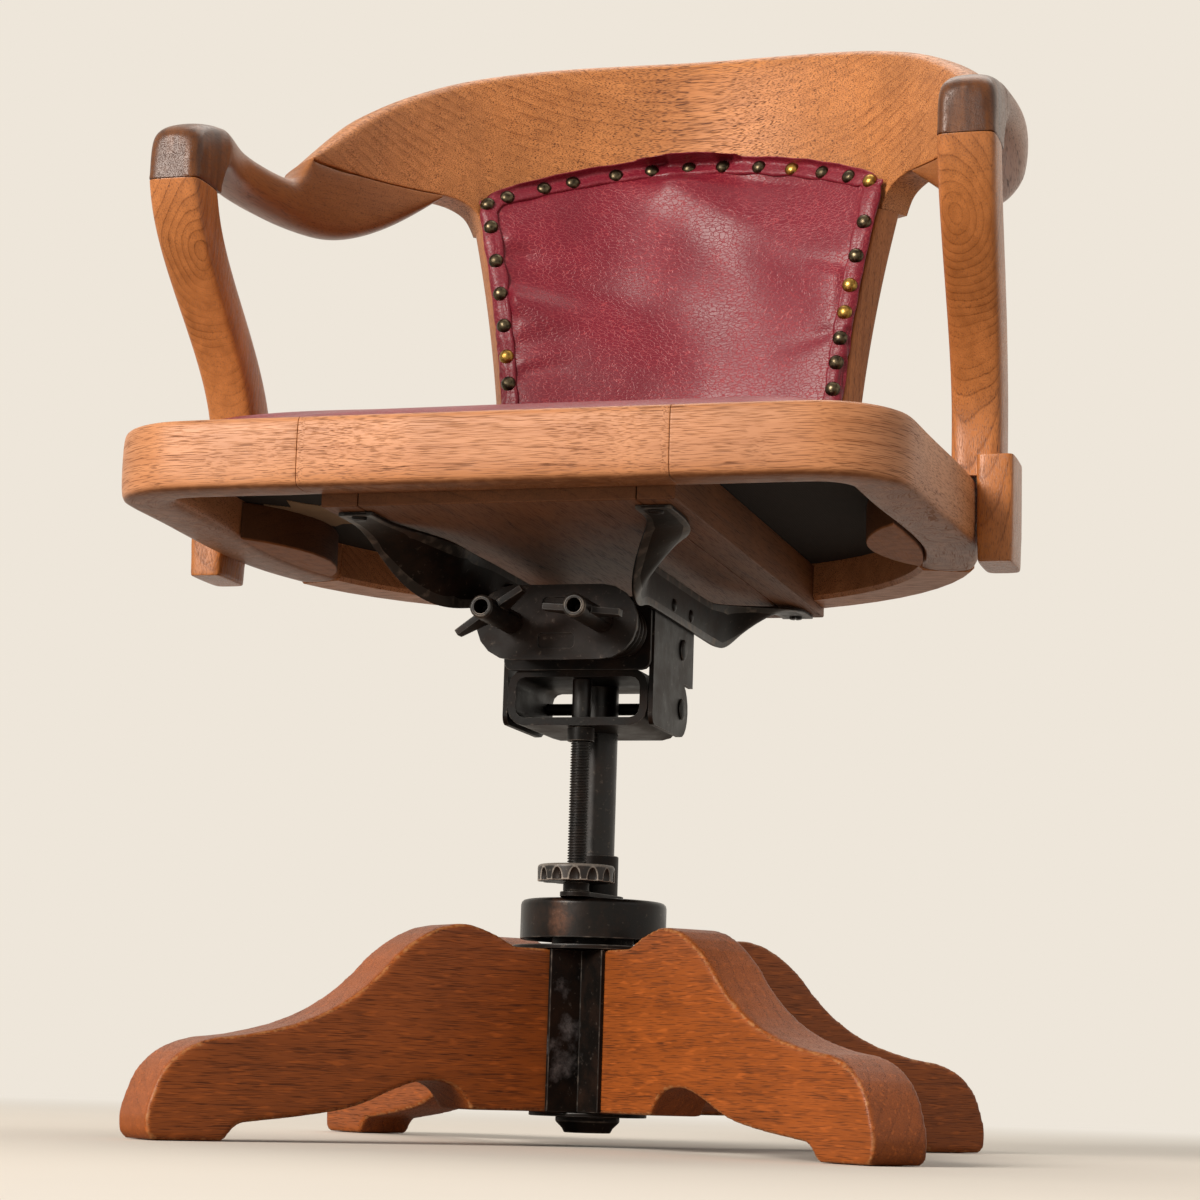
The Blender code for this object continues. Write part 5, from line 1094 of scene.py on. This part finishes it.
class CHAIR_OT_nails(bpy.types.Operator):
    """Drives the dome nails through the leather border"""

    bl_idname = "chair.nails"
    bl_label = "Dome nails"

    BRIGHT = (("left", 5), ("right", 2), ("right", 3), ("top", 8), ("top", 11))

    # How deep the heads are driven into the hide.
    DRIVEN = 0.0004

    def execute(self, context):
        sizes = chair_sizes()
        front = surface_of(bpy.data.objects["back_border"])
        model = dome_nail(sizes)
        groups = {"dark": [], "bright": []}
        for side, index, x, z in nail_spots(NAIL_INSET * sizes.border_width):
            point, normal = front(x, z)
            place = Matrix.Translation(point - normal * self.DRIVEN) @ facing_turn(normal)
            kind = "bright" if (side, index) in self.BRIGHT else "dark"
            groups[kind].append(copy_at(model, f"nail_{side}_{index}", place))
        bpy.data.objects.remove(model)
        finishes = {
            "dark": nail_brass("brass_antiqued", hex_colour("5E5340"), hex_colour("2C261E")),
            "bright": nail_brass("brass_polished", chair_colours().brass, hex_colour("6B5228")),
        }
        for kind, pieces in groups.items():
            nails = joined(pieces, f"dome_nails_{kind}")
            wear_material(nails, finishes[kind])
            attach(nails, BODY["back_panel"])
        return {"FINISHED"}


class CHAIR_OT_platform(bpy.types.Operator):
    """Covers the seat platform with dark bottoming cloth and a torn patch of its lining"""

    bl_idname = "chair.platform"
    bl_label = "Platform cloth"

    # Spacing of the drawn threads.
    THREAD = 0.0018

    # The torn patch: its middle, its half width and half length, its points, how far it hangs and how thick.
    TEAR_PLACE = (-0.192, -0.068)
    TEAR_HALF = (0.028, 0.040)
    TEAR_POINTS = 18
    TEAR_DROP = 0.0006
    TEAR_THICK = 0.0005

    def execute(self, context):
        cloth = bottoming_cloth("cotton_bottoming_cloth", hex_colour("1E1916"), self.THREAD)
        piece = copy_of("seat_platform", "seat_platform_cloth")
        wear_material(piece, cloth)
        bpy.ops.object.shade_smooth_by_angle(angle=math.radians(40))
        stand_for(piece, "seat_platform")
        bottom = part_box("seat_platform")[0].z
        start_fresh()
        bpy.ops.mesh.primitive_circle_add(vertices=self.TEAR_POINTS, radius=1, fill_type="NGON",
                                          location=(*self.TEAR_PLACE, bottom))
        tear = bpy.context.object
        for index, vertex in enumerate(tear.data.vertices):
            ragged = 1 + 0.22 * math.sin(3.7 * index) + 0.12 * math.sin(8.3 * index + 1)
            vertex.co = (vertex.co.x * self.TEAR_HALF[0] * ragged, vertex.co.y * self.TEAR_HALF[1] * ragged,
                         -self.TEAR_DROP)
        edit()
        bpy.ops.mesh.extrude_region_move(TRANSFORM_OT_translate={"value": (0, 0, self.TEAR_THICK)})
        done()
        face_outwards()
        settle(tear, "platform_lining_tear")
        wear_material(tear, bottoming_cloth("cotton_lining", hex_colour("A58A6C"), self.THREAD))
        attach(tear, BODY["seat_platform"])
        return {"FINISHED"}


class CHAIR_OT_steelwork(bpy.types.Operator):
    """Eases the steel pieces and gives them their worn black finish"""

    bl_idname = "chair.steelwork"
    bl_label = "Steelwork"

    PLAIN = (
        "hub_tube", "hub_angle_right", "hub_angle_back", "hub_angle_left", "hub_top_flange",
        "hub_bottom_plate", "hub_bottom_cap", "post_sleeve", "screw_socket", "screw_rest_tube", "screw_nut",
        "yoke_loop", "tilt_axle", "spring_seat_plate", "tilt_cheek_left", "tilt_cheek_right", "rod_pin",
        "tension_rod_left", "tension_rod_right",
    )

    # The rear spring plate reaches out to the cheeks, so that no light shows between them.
    PLATE_SPREAD = 1.05

    # The drum's edge is worn wider than the others.
    DRUM_EASE = 0.0009

    def execute(self, context):
        colours = chair_colours()
        black = blackened_steel("steel_blackened", colours)
        edge = bright_edge("steel_rubbed_edge", colours, worn=0.45)
        for node in self.PLAIN:
            eased_steel(node, black, edge)
        for node in ("seat_bracket_left", "seat_bracket_right"):
            twisted_steel(node, black, edge)
        low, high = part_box("spring_cap_plate")
        cap = blackened_steel("steel_browned_cap", colours, bare_share=0.4, gloss=0.36, shine=0.2,
                              patch=((low + high) / 2, (0.16, 0.08, 0.09), hex_colour("33221A")))
        for node in ("spring_cap_plate", "wing_nut_left", "wing_nut_right"):
            eased_steel(node, cap, edge)
        post = blackened_steel("steel_browned_post", colours, bare_share=0.45, gloss=0.28, shine=0.34)
        eased_steel("column_post", post, edge)
        drum = blackened_steel("steel_blackened_drum", colours, bare_share=0.3, gloss=0.24, shine=0.2,
                               patch=((-0.010, -0.048, 0.150), (0.036, 0.030, 0.036), hex_colour("5A3C2C")))
        eased_steel("swivel_cap", drum, edge, width=self.DRUM_EASE)
        front = blackened_steel("steel_blackened_front_angle", colours, gloss=0.42,
                                patch=((-0.010, -0.036, 0.080), (0.034, 0.044, 0.095), hex_colour("7C7676")))
        eased_steel("hub_angle_front", front, edge)
        plate = bpy.data.objects["spring_seat_plate_metal"].data
        set_places(plate, place_array(plate) * (self.PLATE_SPREAD, 1, 1))
        race = blackened_steel("steel_greased_race", colours, bare_share=0.5, gloss=0.4)
        eased_steel("swivel_bearing", race, edge)
        return {"FINISHED"}


class CHAIR_OT_handwheel(bpy.types.Operator):
    """Turns the handwheel and hollows its rim for the fingers"""

    bl_idname = "chair.handwheel"
    bl_label = "Handwheel"

    HOLLOWS = 13
    HOLLOW_RADIUS = 0.0042
    HOLLOW_STAND = 0.0016
    # Level and height of the hollows, in shares of the wheel's height, and their turn in shares of a step.
    HOLLOW_LEVEL = 0.1
    HOLLOW_HEIGHT = 0.72
    HOLLOW_TURN = 0.25
    RIM_ROUND = 0.0020
    BORE_GAP = 0.0003
    STEP = 0.0005

    def execute(self, context):
        low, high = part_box("height_handwheel")
        centre = (low + high) / 2
        radius = (high.x - low.x) / 2
        height = high.z - low.z
        start_fresh()
        bpy.ops.mesh.primitive_cylinder_add(vertices=104, radius=radius, depth=height, location=centre)
        wheel = settle(bpy.context.object, "height_handwheel_metal")
        edit_faces(wheel, lambda face: face.normal.z > 0.9)
        bpy.ops.mesh.bevel(offset=self.RIM_ROUND, segments=4)
        done()
        reach = radius + self.HOLLOW_STAND
        tools = []
        for number in range(self.HOLLOWS):
            angle = math.tau * (number + self.HOLLOW_TURN) / self.HOLLOWS
            start_fresh()
            bpy.ops.mesh.primitive_uv_sphere_add(
                segments=24, ring_count=14, radius=self.HOLLOW_RADIUS,
                location=(centre.x + reach * math.cos(angle), centre.y + reach * math.sin(angle),
                          low.z + self.HOLLOW_LEVEL * height),
            )
            ball = bpy.context.object
            ball.scale = (1, 1, self.HOLLOW_HEIGHT * height / self.HOLLOW_RADIUS)
            tools.append(settle(ball, f"hollow_tool_{number}"))
        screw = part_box("height_screw")
        start_fresh()
        bpy.ops.mesh.primitive_cylinder_add(vertices=40, radius=(screw[1].x - screw[0].x) / 2 + self.BORE_GAP,
                                            depth=3 * height, location=centre)
        tools.append(settle(bpy.context.object, "bore_tool"))
        cut_away(wheel, joined(tools, "wheel_tool"))
        modify(wheel, "REMESH", mode="VOXEL", voxel_size=self.STEP)
        modify(wheel, "SMOOTH", iterations=3)
        bpy.ops.object.shade_smooth()
        # The raised edges between the hollows are painted pale: partly bare worn metal, partly a painted
        # highlight.
        mark_wear(wheel, rounds=4)
        finish = blackened_steel("steel_worn_and_highlit_wheel", chair_colours(), bare_share=0.5, gloss=0.30, shine=0.4,
                                 worn_and_highlit_ridges=hex_colour("A39A90"))
        wear_material(wheel, finish)
        stand_for(wheel, "height_handwheel")
        return {"FINISHED"}


class CHAIR_OT_springs(bpy.types.Operator):
    """Winds the two tilt springs, with the front curl apart, as it follows the cap when they are set"""

    bl_idname = "chair.springs"
    bl_label = "Tilt springs"

    # Share of its length that a spring keeps when the seat is tilted back.
    KEEP = 0.70
    # Share of each turn that is wound, so that the coil stops a hair short of the front curl.
    WOUND = 0.9988

    def execute(self, context):
        finish = blackened_steel("steel_spring_wire", chair_colours(), bare_share=0.45, gloss=0.34)
        rear = SPRING_REAR - FIT_GAP - SPRING_WIRE
        lead = (rear - SPRING_FRONT - FIT_GAP - SPRING_WIRE) / SPRING_CURLS
        turns = SPRING_CURLS - 1
        for side, sign in (("left", -1), ("right", 1)):
            node = "tilt_spring_" + side
            place = Vector((sign * SPRING_SPREAD, rear, SPRING_LINE))
            coil = self.wind(node + "_coil", turns, self.WOUND, lead, place)
            wear_material(coil, finish)
            stand_for(coil, node)
            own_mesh(coil)
            front = self.wind(node + "_front_curl", 1, 1.0, lead, place - Vector((0, turns * lead, 0)))
            wear_material(front, finish)
            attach(front, BODY["spring_cap_plate"])
        return {"FINISHED"}

    def wind(self, name, turns, wound, lead, place):
        """Length of round wire wound forwards from a place, its ends on top, where the board hides them."""
        steps = chair_sizes().spring_steps
        start_fresh()
        bpy.ops.mesh.primitive_circle_add(vertices=14, radius=SPRING_WIRE, location=(0, 0, 0))
        wire = bpy.context.object
        edit()
        bpy.ops.transform.translate(value=(SPRING_RADIUS, 0, 0))
        done()
        modify(wire, "SCREW", axis="Y", angle=math.tau * wound, screw_offset=-lead * wound, iterations=turns,
               steps=steps, render_steps=steps)
        edit()
        bpy.ops.mesh.remove_doubles(threshold=MERGE)
        bpy.ops.mesh.select_all(action="SELECT")
        bpy.ops.mesh.fill_holes(sides=0)
        done()
        face_outwards()
        wire.rotation_euler = (0, -math.pi / 2, 0)
        wire.location = place
        settle(wire, name)
        bpy.ops.object.shade_smooth()
        return wire


class CHAIR_OT_thread(bpy.types.Operator):
    """Cuts the thread on the lift screw"""

    bl_idname = "chair.thread"
    bl_label = "Lift screw"

    # One tooth, in shares of the thread's depth and pitch: a flat root, a flank, a flat crest and a flank.
    TOOTH = ((0, 0.12), (1, 0.32), (0, 0.16), (-1, 0.40))

    # The thread starts this far over the wheel, with plain bars inside it, under it and over it.
    WHEEL_GAP = 0.0006
    CORE_INSET = 0.0001
    CORE_EASE = 0.0006
    BAR_GAP = 0.0002
    BAR_EASE = 0.0008

    def execute(self, context):
        sizes = chair_sizes()
        low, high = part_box("height_screw")
        radius = (high.x - low.x) / 2
        centre = (low + high) / 2
        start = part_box("height_handwheel")[1].z + self.WHEEL_GAP
        pitch = sizes.thread_pitch
        root = radius - sizes.thread_depth
        turns = int((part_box("yoke_loop")[0].z - start) / pitch)
        start_fresh()
        bpy.ops.mesh.primitive_plane_add(size=pitch, location=(0, 0, 0))
        screw = bpy.context.object
        edit()
        bpy.ops.mesh.merge(type="CENTER")
        bpy.ops.transform.translate(value=(root, 0, 0))
        for out, up in self.TOOTH:
            step = (out * sizes.thread_depth, 0, up * pitch)
            bpy.ops.mesh.extrude_vertices_move(TRANSFORM_OT_translate={"value": step})
        done()
        modify(screw, "SCREW", axis="Z", screw_offset=pitch, iterations=turns, steps=24, render_steps=24,
               use_merge_vertices=True, merge_threshold=MERGE)
        edit()
        bpy.ops.mesh.remove_doubles(threshold=MERGE)
        bpy.ops.mesh.normals_make_consistent(inside=False)
        done()
        screw.location = (centre.x, centre.y, start)
        settle(screw, "lift_screw_thread")
        outward = place_array(screw.data)[:, :2] - np.array(centre.xy)
        if (normal_array(screw.data)[:, :2] * outward).sum() < 0:
            flip_faces()
        bars = [
            self.bar("lift_screw_core", root - self.CORE_INSET, centre, low.z, high.z, self.CORE_EASE),
            self.bar("lift_screw_foot", radius, centre, low.z + self.BAR_GAP, start - self.BAR_GAP,
                     self.BAR_EASE),
            self.bar("lift_screw_shank", radius, centre, start + turns * pitch, high.z, self.BAR_EASE),
        ]
        piece = joined([screw, *bars], "lift_screw")
        bpy.ops.object.shade_smooth_by_angle(angle=math.radians(30))
        finish = blackened_steel("steel_blackened_screw", chair_colours(), bare_share=0.4, gloss=0.34,
                                 shine=0.5)
        wear_material(piece, finish)
        stand_for(piece, "height_screw")
        return {"FINISHED"}

    def bar(self, name, radius, centre, bottom, top, ease):
        """Round bar between two heights, with both its ends eased."""
        start_fresh()
        bpy.ops.mesh.primitive_cylinder_add(vertices=28, radius=radius, depth=top - bottom,
                                            location=(centre.x, centre.y, (bottom + top) / 2))
        bar = settle(bpy.context.object, name)
        edit_faces(bar, lambda face: abs(face.normal.z) > 0.9)
        bpy.ops.mesh.bevel(offset=ease, segments=2)
        done()
        return bar


class CHAIR_OT_fasteners(bpy.types.Operator):
    """Sets the rivets in the cheeks and the slotted screws in the brackets"""

    bl_idname = "chair.fasteners"
    bl_label = "Rivets and screws"

    BRACKET_THICK = 0.0026
    RIVET_RADIUS = 0.0046
    RIVET_FLATTENED = 0.45
    RIVET_Y = (-0.018, 0.030)
    RIVET_Z = 0.367
    SCREW_RADIUS = 0.0048
    SCREW_DEPTH = 0.0016
    SCREW_EASE = 0.0007
    SCREW_SUNK = 0.0007
    SCREW_X = 0.097
    SCREW_Y = (-0.229, 0.188)
    SLOT = (0.012, 0.0011, 0.0012)

    def execute(self, context):
        black = blackened_steel("steel_rivet", chair_colours(), bare_share=0.5, gloss=0.34)
        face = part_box("tilt_cheek_right")[1].x + FIT_GAP + self.BRACKET_THICK
        rivet = self.rivet()
        rivets = []
        for sign in (-1, 1):
            for y in self.RIVET_Y:
                place = Matrix.Translation((sign * face, y, self.RIVET_Z)) @ facing_turn(Vector((sign, 0, 0)))
                rivets.append(copy_at(rivet, f"rivet_{sign}_{y}", place))
        bpy.data.objects.remove(rivet)
        rivets = joined(rivets, "cheek_rivets")
        wear_material(rivets, black)
        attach(rivets, "seat")

        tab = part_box("seat_bracket_right")[1].z - self.BRACKET_THICK
        head = self.slotted_head()
        spots = [(x, y) for x in (self.SCREW_X, -self.SCREW_X) for y in self.SCREW_Y]
        screws = []
        for index, (x, y) in enumerate(spots):
            # Each slot came to rest at its own angle.
            turn = Matrix.Rotation(0.7 + 1.1 * index, 4, "Z")
            place = Matrix.Translation((x, y, tab - self.SCREW_SUNK)) @ turn
            screws.append(copy_at(head, f"bracket_screw_{index}", place))
        bpy.data.objects.remove(head)
        screws = joined(screws, "bracket_screws")
        bpy.ops.object.shade_smooth_by_angle(angle=math.radians(30))
        wear_material(screws, black)
        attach(screws, "seat")
        return {"FINISHED"}

    def rivet(self):
        """Flattened half sphere on the origin, towards -Y."""
        start_fresh()
        bpy.ops.mesh.primitive_uv_sphere_add(segments=16, ring_count=8, radius=self.RIVET_RADIUS,
                                             location=(0, 0, 0))
        rivet = bpy.context.object
        edit()
        bpy.ops.mesh.bisect(plane_co=(0, 0, 0), plane_no=(0, 1, 0), clear_outer=True, use_fill=True)
        bpy.ops.mesh.select_all(action="SELECT")
        bpy.ops.transform.resize(value=(1, self.RIVET_FLATTENED, 1), center_override=(0, 0, 0))
        done()
        pick(rivet)
        bpy.ops.object.shade_smooth_by_angle(angle=math.radians(60))
        return rivet

    def slotted_head(self):
        """Screw head on the origin, its slotted face downwards."""
        start_fresh()
        bpy.ops.mesh.primitive_cylinder_add(vertices=24, radius=self.SCREW_RADIUS, depth=self.SCREW_DEPTH,
                                            location=(0, 0, 0))
        head = bpy.context.object
        edit_faces(head, lambda face: face.normal.z < -0.9)
        bpy.ops.mesh.bevel(offset=self.SCREW_EASE, segments=2)
        done()
        start_fresh()
        bpy.ops.mesh.primitive_cube_add(size=1, location=(0, 0, -self.SCREW_DEPTH / 2))
        slot_tool = bpy.context.object
        slot_tool.scale = self.SLOT
        cut_away(head, settle(slot_tool, "screw_slot_tool"))
        return head


class CHAIR_OT_stage(bpy.types.Operator):
    """Sets the floor, the soft light and the camera"""

    bl_idname = "chair.stage"
    bl_label = "Stage"

    # The camera, fitted to a square picture of 1200 by 1200 with its centre in the middle.
    FOCAL_PIXELS = 2950.0
    PICTURE = 1200.0
    SENSOR = 36.0
    PLACE = (0.5537, -1.9522, 0.0439)
    YAW = math.radians(15.896)
    PITCH = math.radians(9.248)
    ROLL = math.radians(1.75)

    # The floor: its size and level, what it throws back, and where it starts and ends to fade out.
    FLOOR = 30
    FLOOR_LEVEL = -0.0005
    BOUNCE = (0.30, 0.24, 0.19)
    FADE = (0.55, 2.2)

    def execute(self, context):
        scene = context.scene
        colours = chair_colours()
        scene.view_settings.view_transform = "Standard"
        start_fresh()
        bpy.ops.mesh.primitive_plane_add(size=self.FLOOR, location=(0, 0, self.FLOOR_LEVEL))
        floor = settle(bpy.context.object, "studio_floor")
        wear_material(floor, self.floor_paint(colours))
        self.surround(scene, colours)
        self.lamp("window_light", (-2.3, -4.3, 2.4), (0, 0, 0.45), 2.2, 330, "FFF7EE")
        self.lamp("fill_light", (2.6, -0.6, 1.6), (0, 0, 0.4), 2.0, 3.5, "F6F2FF")
        self.lamp("top_light", (0.1, 0.8, 2.6), (0, 0, 0.5), 2.0, 26, "FFFAF2")
        self.camera(scene)
        return {"FINISHED"}

    def floor_paint(self, colours):
        """Pale matt paint that fades into the surround."""
        paint, tree, shader, place = new_material("paint_pale_floor")
        soft = add(tree, "TexNoise", {"Vector": place, "Scale": 3.0, "Detail": 2.0})
        tint = add(tree, "Mix",
                   {"Factor": soft, "A": shade(colours.backdrop, 0.90), "B": shade(colours.backdrop, 0.96)},
                   data_type="RGBA")
        # The floor throws less light up under the seat than its pale look would.
        direct = add(tree, "LightPath", {}, "Is Camera Ray")
        seen = add(tree, "Mix", {"Factor": direct, "A": self.BOUNCE, "B": tint}, data_type="RGBA")
        plug(tree, shader, {"Base Color": seen, "Roughness": 0.85})
        # Far from the chair the floor takes the surround's own colour, so no horizon shows.
        away = add(tree, "VectorMath", {0: place}, operation="LENGTH")
        fade = add(tree, "MapRange", {"Value": away, "From Min": self.FADE[0], "From Max": self.FADE[1]},
                   interpolation_type="SMOOTHSTEP")
        glow = add(tree, "Emission", {"Color": colours.backdrop})
        blended = add(tree, "MixShader", {"Fac": fade, 1: shader.outputs["BSDF"], 2: glow})
        plug(tree, tree.nodes["Material Output"], {"Surface": blended})
        return paint

    def surround(self, scene, colours):
        """Even pale surround for the eye and for reflections, and a plain soft light on the chair."""
        world = bpy.data.worlds.new("pale_surround")
        world.use_nodes = True
        scene.world = world
        tree = world.node_tree
        tree.nodes.clear()
        shown = 0.0
        for kind in ("Camera", "Glossy", "Transmission"):
            ray = add(tree, "LightPath", {}, f"Is {kind} Ray")
            shown = add(tree, "Math", {0: ray, 1: shown}, operation="MAXIMUM")
        light = add(tree, "Background", {"Color": (1.0, 0.98, 0.95), "Strength": 0.22})
        view = add(tree, "Background", {"Color": colours.backdrop, "Strength": 1.0})
        mixed = add(tree, "MixShader", {"Fac": shown, 1: light, 2: view})
        plug(tree, tree.nodes.new("ShaderNodeOutputWorld"), {"Surface": mixed})

    def lamp(self, name, place, target, size, power, tint):
        data = bpy.data.lights.new(name, "AREA")
        data.shape = "SQUARE"
        data.size = size
        data.energy = power
        data.color = hex_colour(tint)
        lamp = bpy.data.objects.new(name, data)
        lamp.location = place
        lamp.rotation_euler = (Vector(target) - Vector(place)).to_track_quat("-Z", "Y").to_euler()
        bpy.context.scene.collection.objects.link(lamp)

    def camera(self, scene):
        across = Vector((math.cos(self.YAW), math.sin(self.YAW), 0))
        ahead = Vector((-math.sin(self.YAW) * math.cos(self.PITCH), math.cos(self.YAW) * math.cos(self.PITCH),
                        math.sin(self.PITCH)))
        upward = across.cross(ahead)
        right = across * math.cos(self.ROLL) + upward * math.sin(self.ROLL)
        up = upward * math.cos(self.ROLL) - across * math.sin(self.ROLL)
        data = bpy.data.cameras.new("photo_camera")
        data.sensor_fit = "HORIZONTAL"
        data.sensor_width = self.SENSOR
        data.lens = self.FOCAL_PIXELS * self.SENSOR / self.PICTURE
        data.clip_start = 0.05
        camera = bpy.data.objects.new("photo_camera", data)
        turn = Matrix((right, up, -ahead)).transposed().to_4x4()
        camera.matrix_world = Matrix.Translation(self.PLACE) @ turn
        scene.collection.objects.link(camera)
        scene.camera = camera


PIECES = (
    CHAIR_OT_stage,
    CHAIR_OT_bow,
    CHAIR_OT_posts,
    CHAIR_OT_seat_ring,
    CHAIR_OT_legs,
    CHAIR_OT_leather_seat,
    CHAIR_OT_leather_back,
    CHAIR_OT_nails,
    CHAIR_OT_platform,
    CHAIR_OT_steelwork,
    CHAIR_OT_handwheel,
    CHAIR_OT_springs,
    CHAIR_OT_thread,
    CHAIR_OT_fasteners,
)


class CHAIR_PT_panel(bpy.types.Panel):
    """Lists the chair's pieces in the order they are made"""

    bl_idname = "CHAIR_PT_panel"
    bl_label = "Captain's Chair"
    bl_space_type = "VIEW_3D"
    bl_region_type = "UI"
    bl_category = "Chair"

    def draw(self, context):
        for piece in PIECES:
            self.layout.operator(piece.bl_idname)
        for group in (context.scene.chair_sizes, context.scene.chair_colours):
            box = self.layout.box()
            for name in group.__annotations__:
                box.prop(group, name)


CLASSES = (ChairColours, ChairSizes, *PIECES, CHAIR_PT_panel)


def register():
    for item in CLASSES:
        bpy.utils.register_class(item)
    bpy.types.Scene.chair_colours = PointerProperty(type=ChairColours)
    bpy.types.Scene.chair_sizes = PointerProperty(type=ChairSizes)


def unregister():
    del bpy.types.Scene.chair_sizes
    del bpy.types.Scene.chair_colours
    for item in reversed(CLASSES):
        bpy.utils.unregister_class(item)


def main():
    register()
    start_fresh()
    bpy.ops.chair.stage()
    bpy.ops.chair.bow()
    bpy.ops.chair.posts()
    bpy.ops.chair.seat_ring()
    bpy.ops.chair.legs()
    bpy.ops.chair.leather_seat()
    bpy.ops.chair.leather_back()
    bpy.ops.chair.nails()
    bpy.ops.chair.platform()
    bpy.ops.chair.steelwork()
    bpy.ops.chair.handwheel()
    bpy.ops.chair.springs()
    bpy.ops.chair.thread()
    bpy.ops.chair.fasteners()


if __name__ == "__main__":
    main()
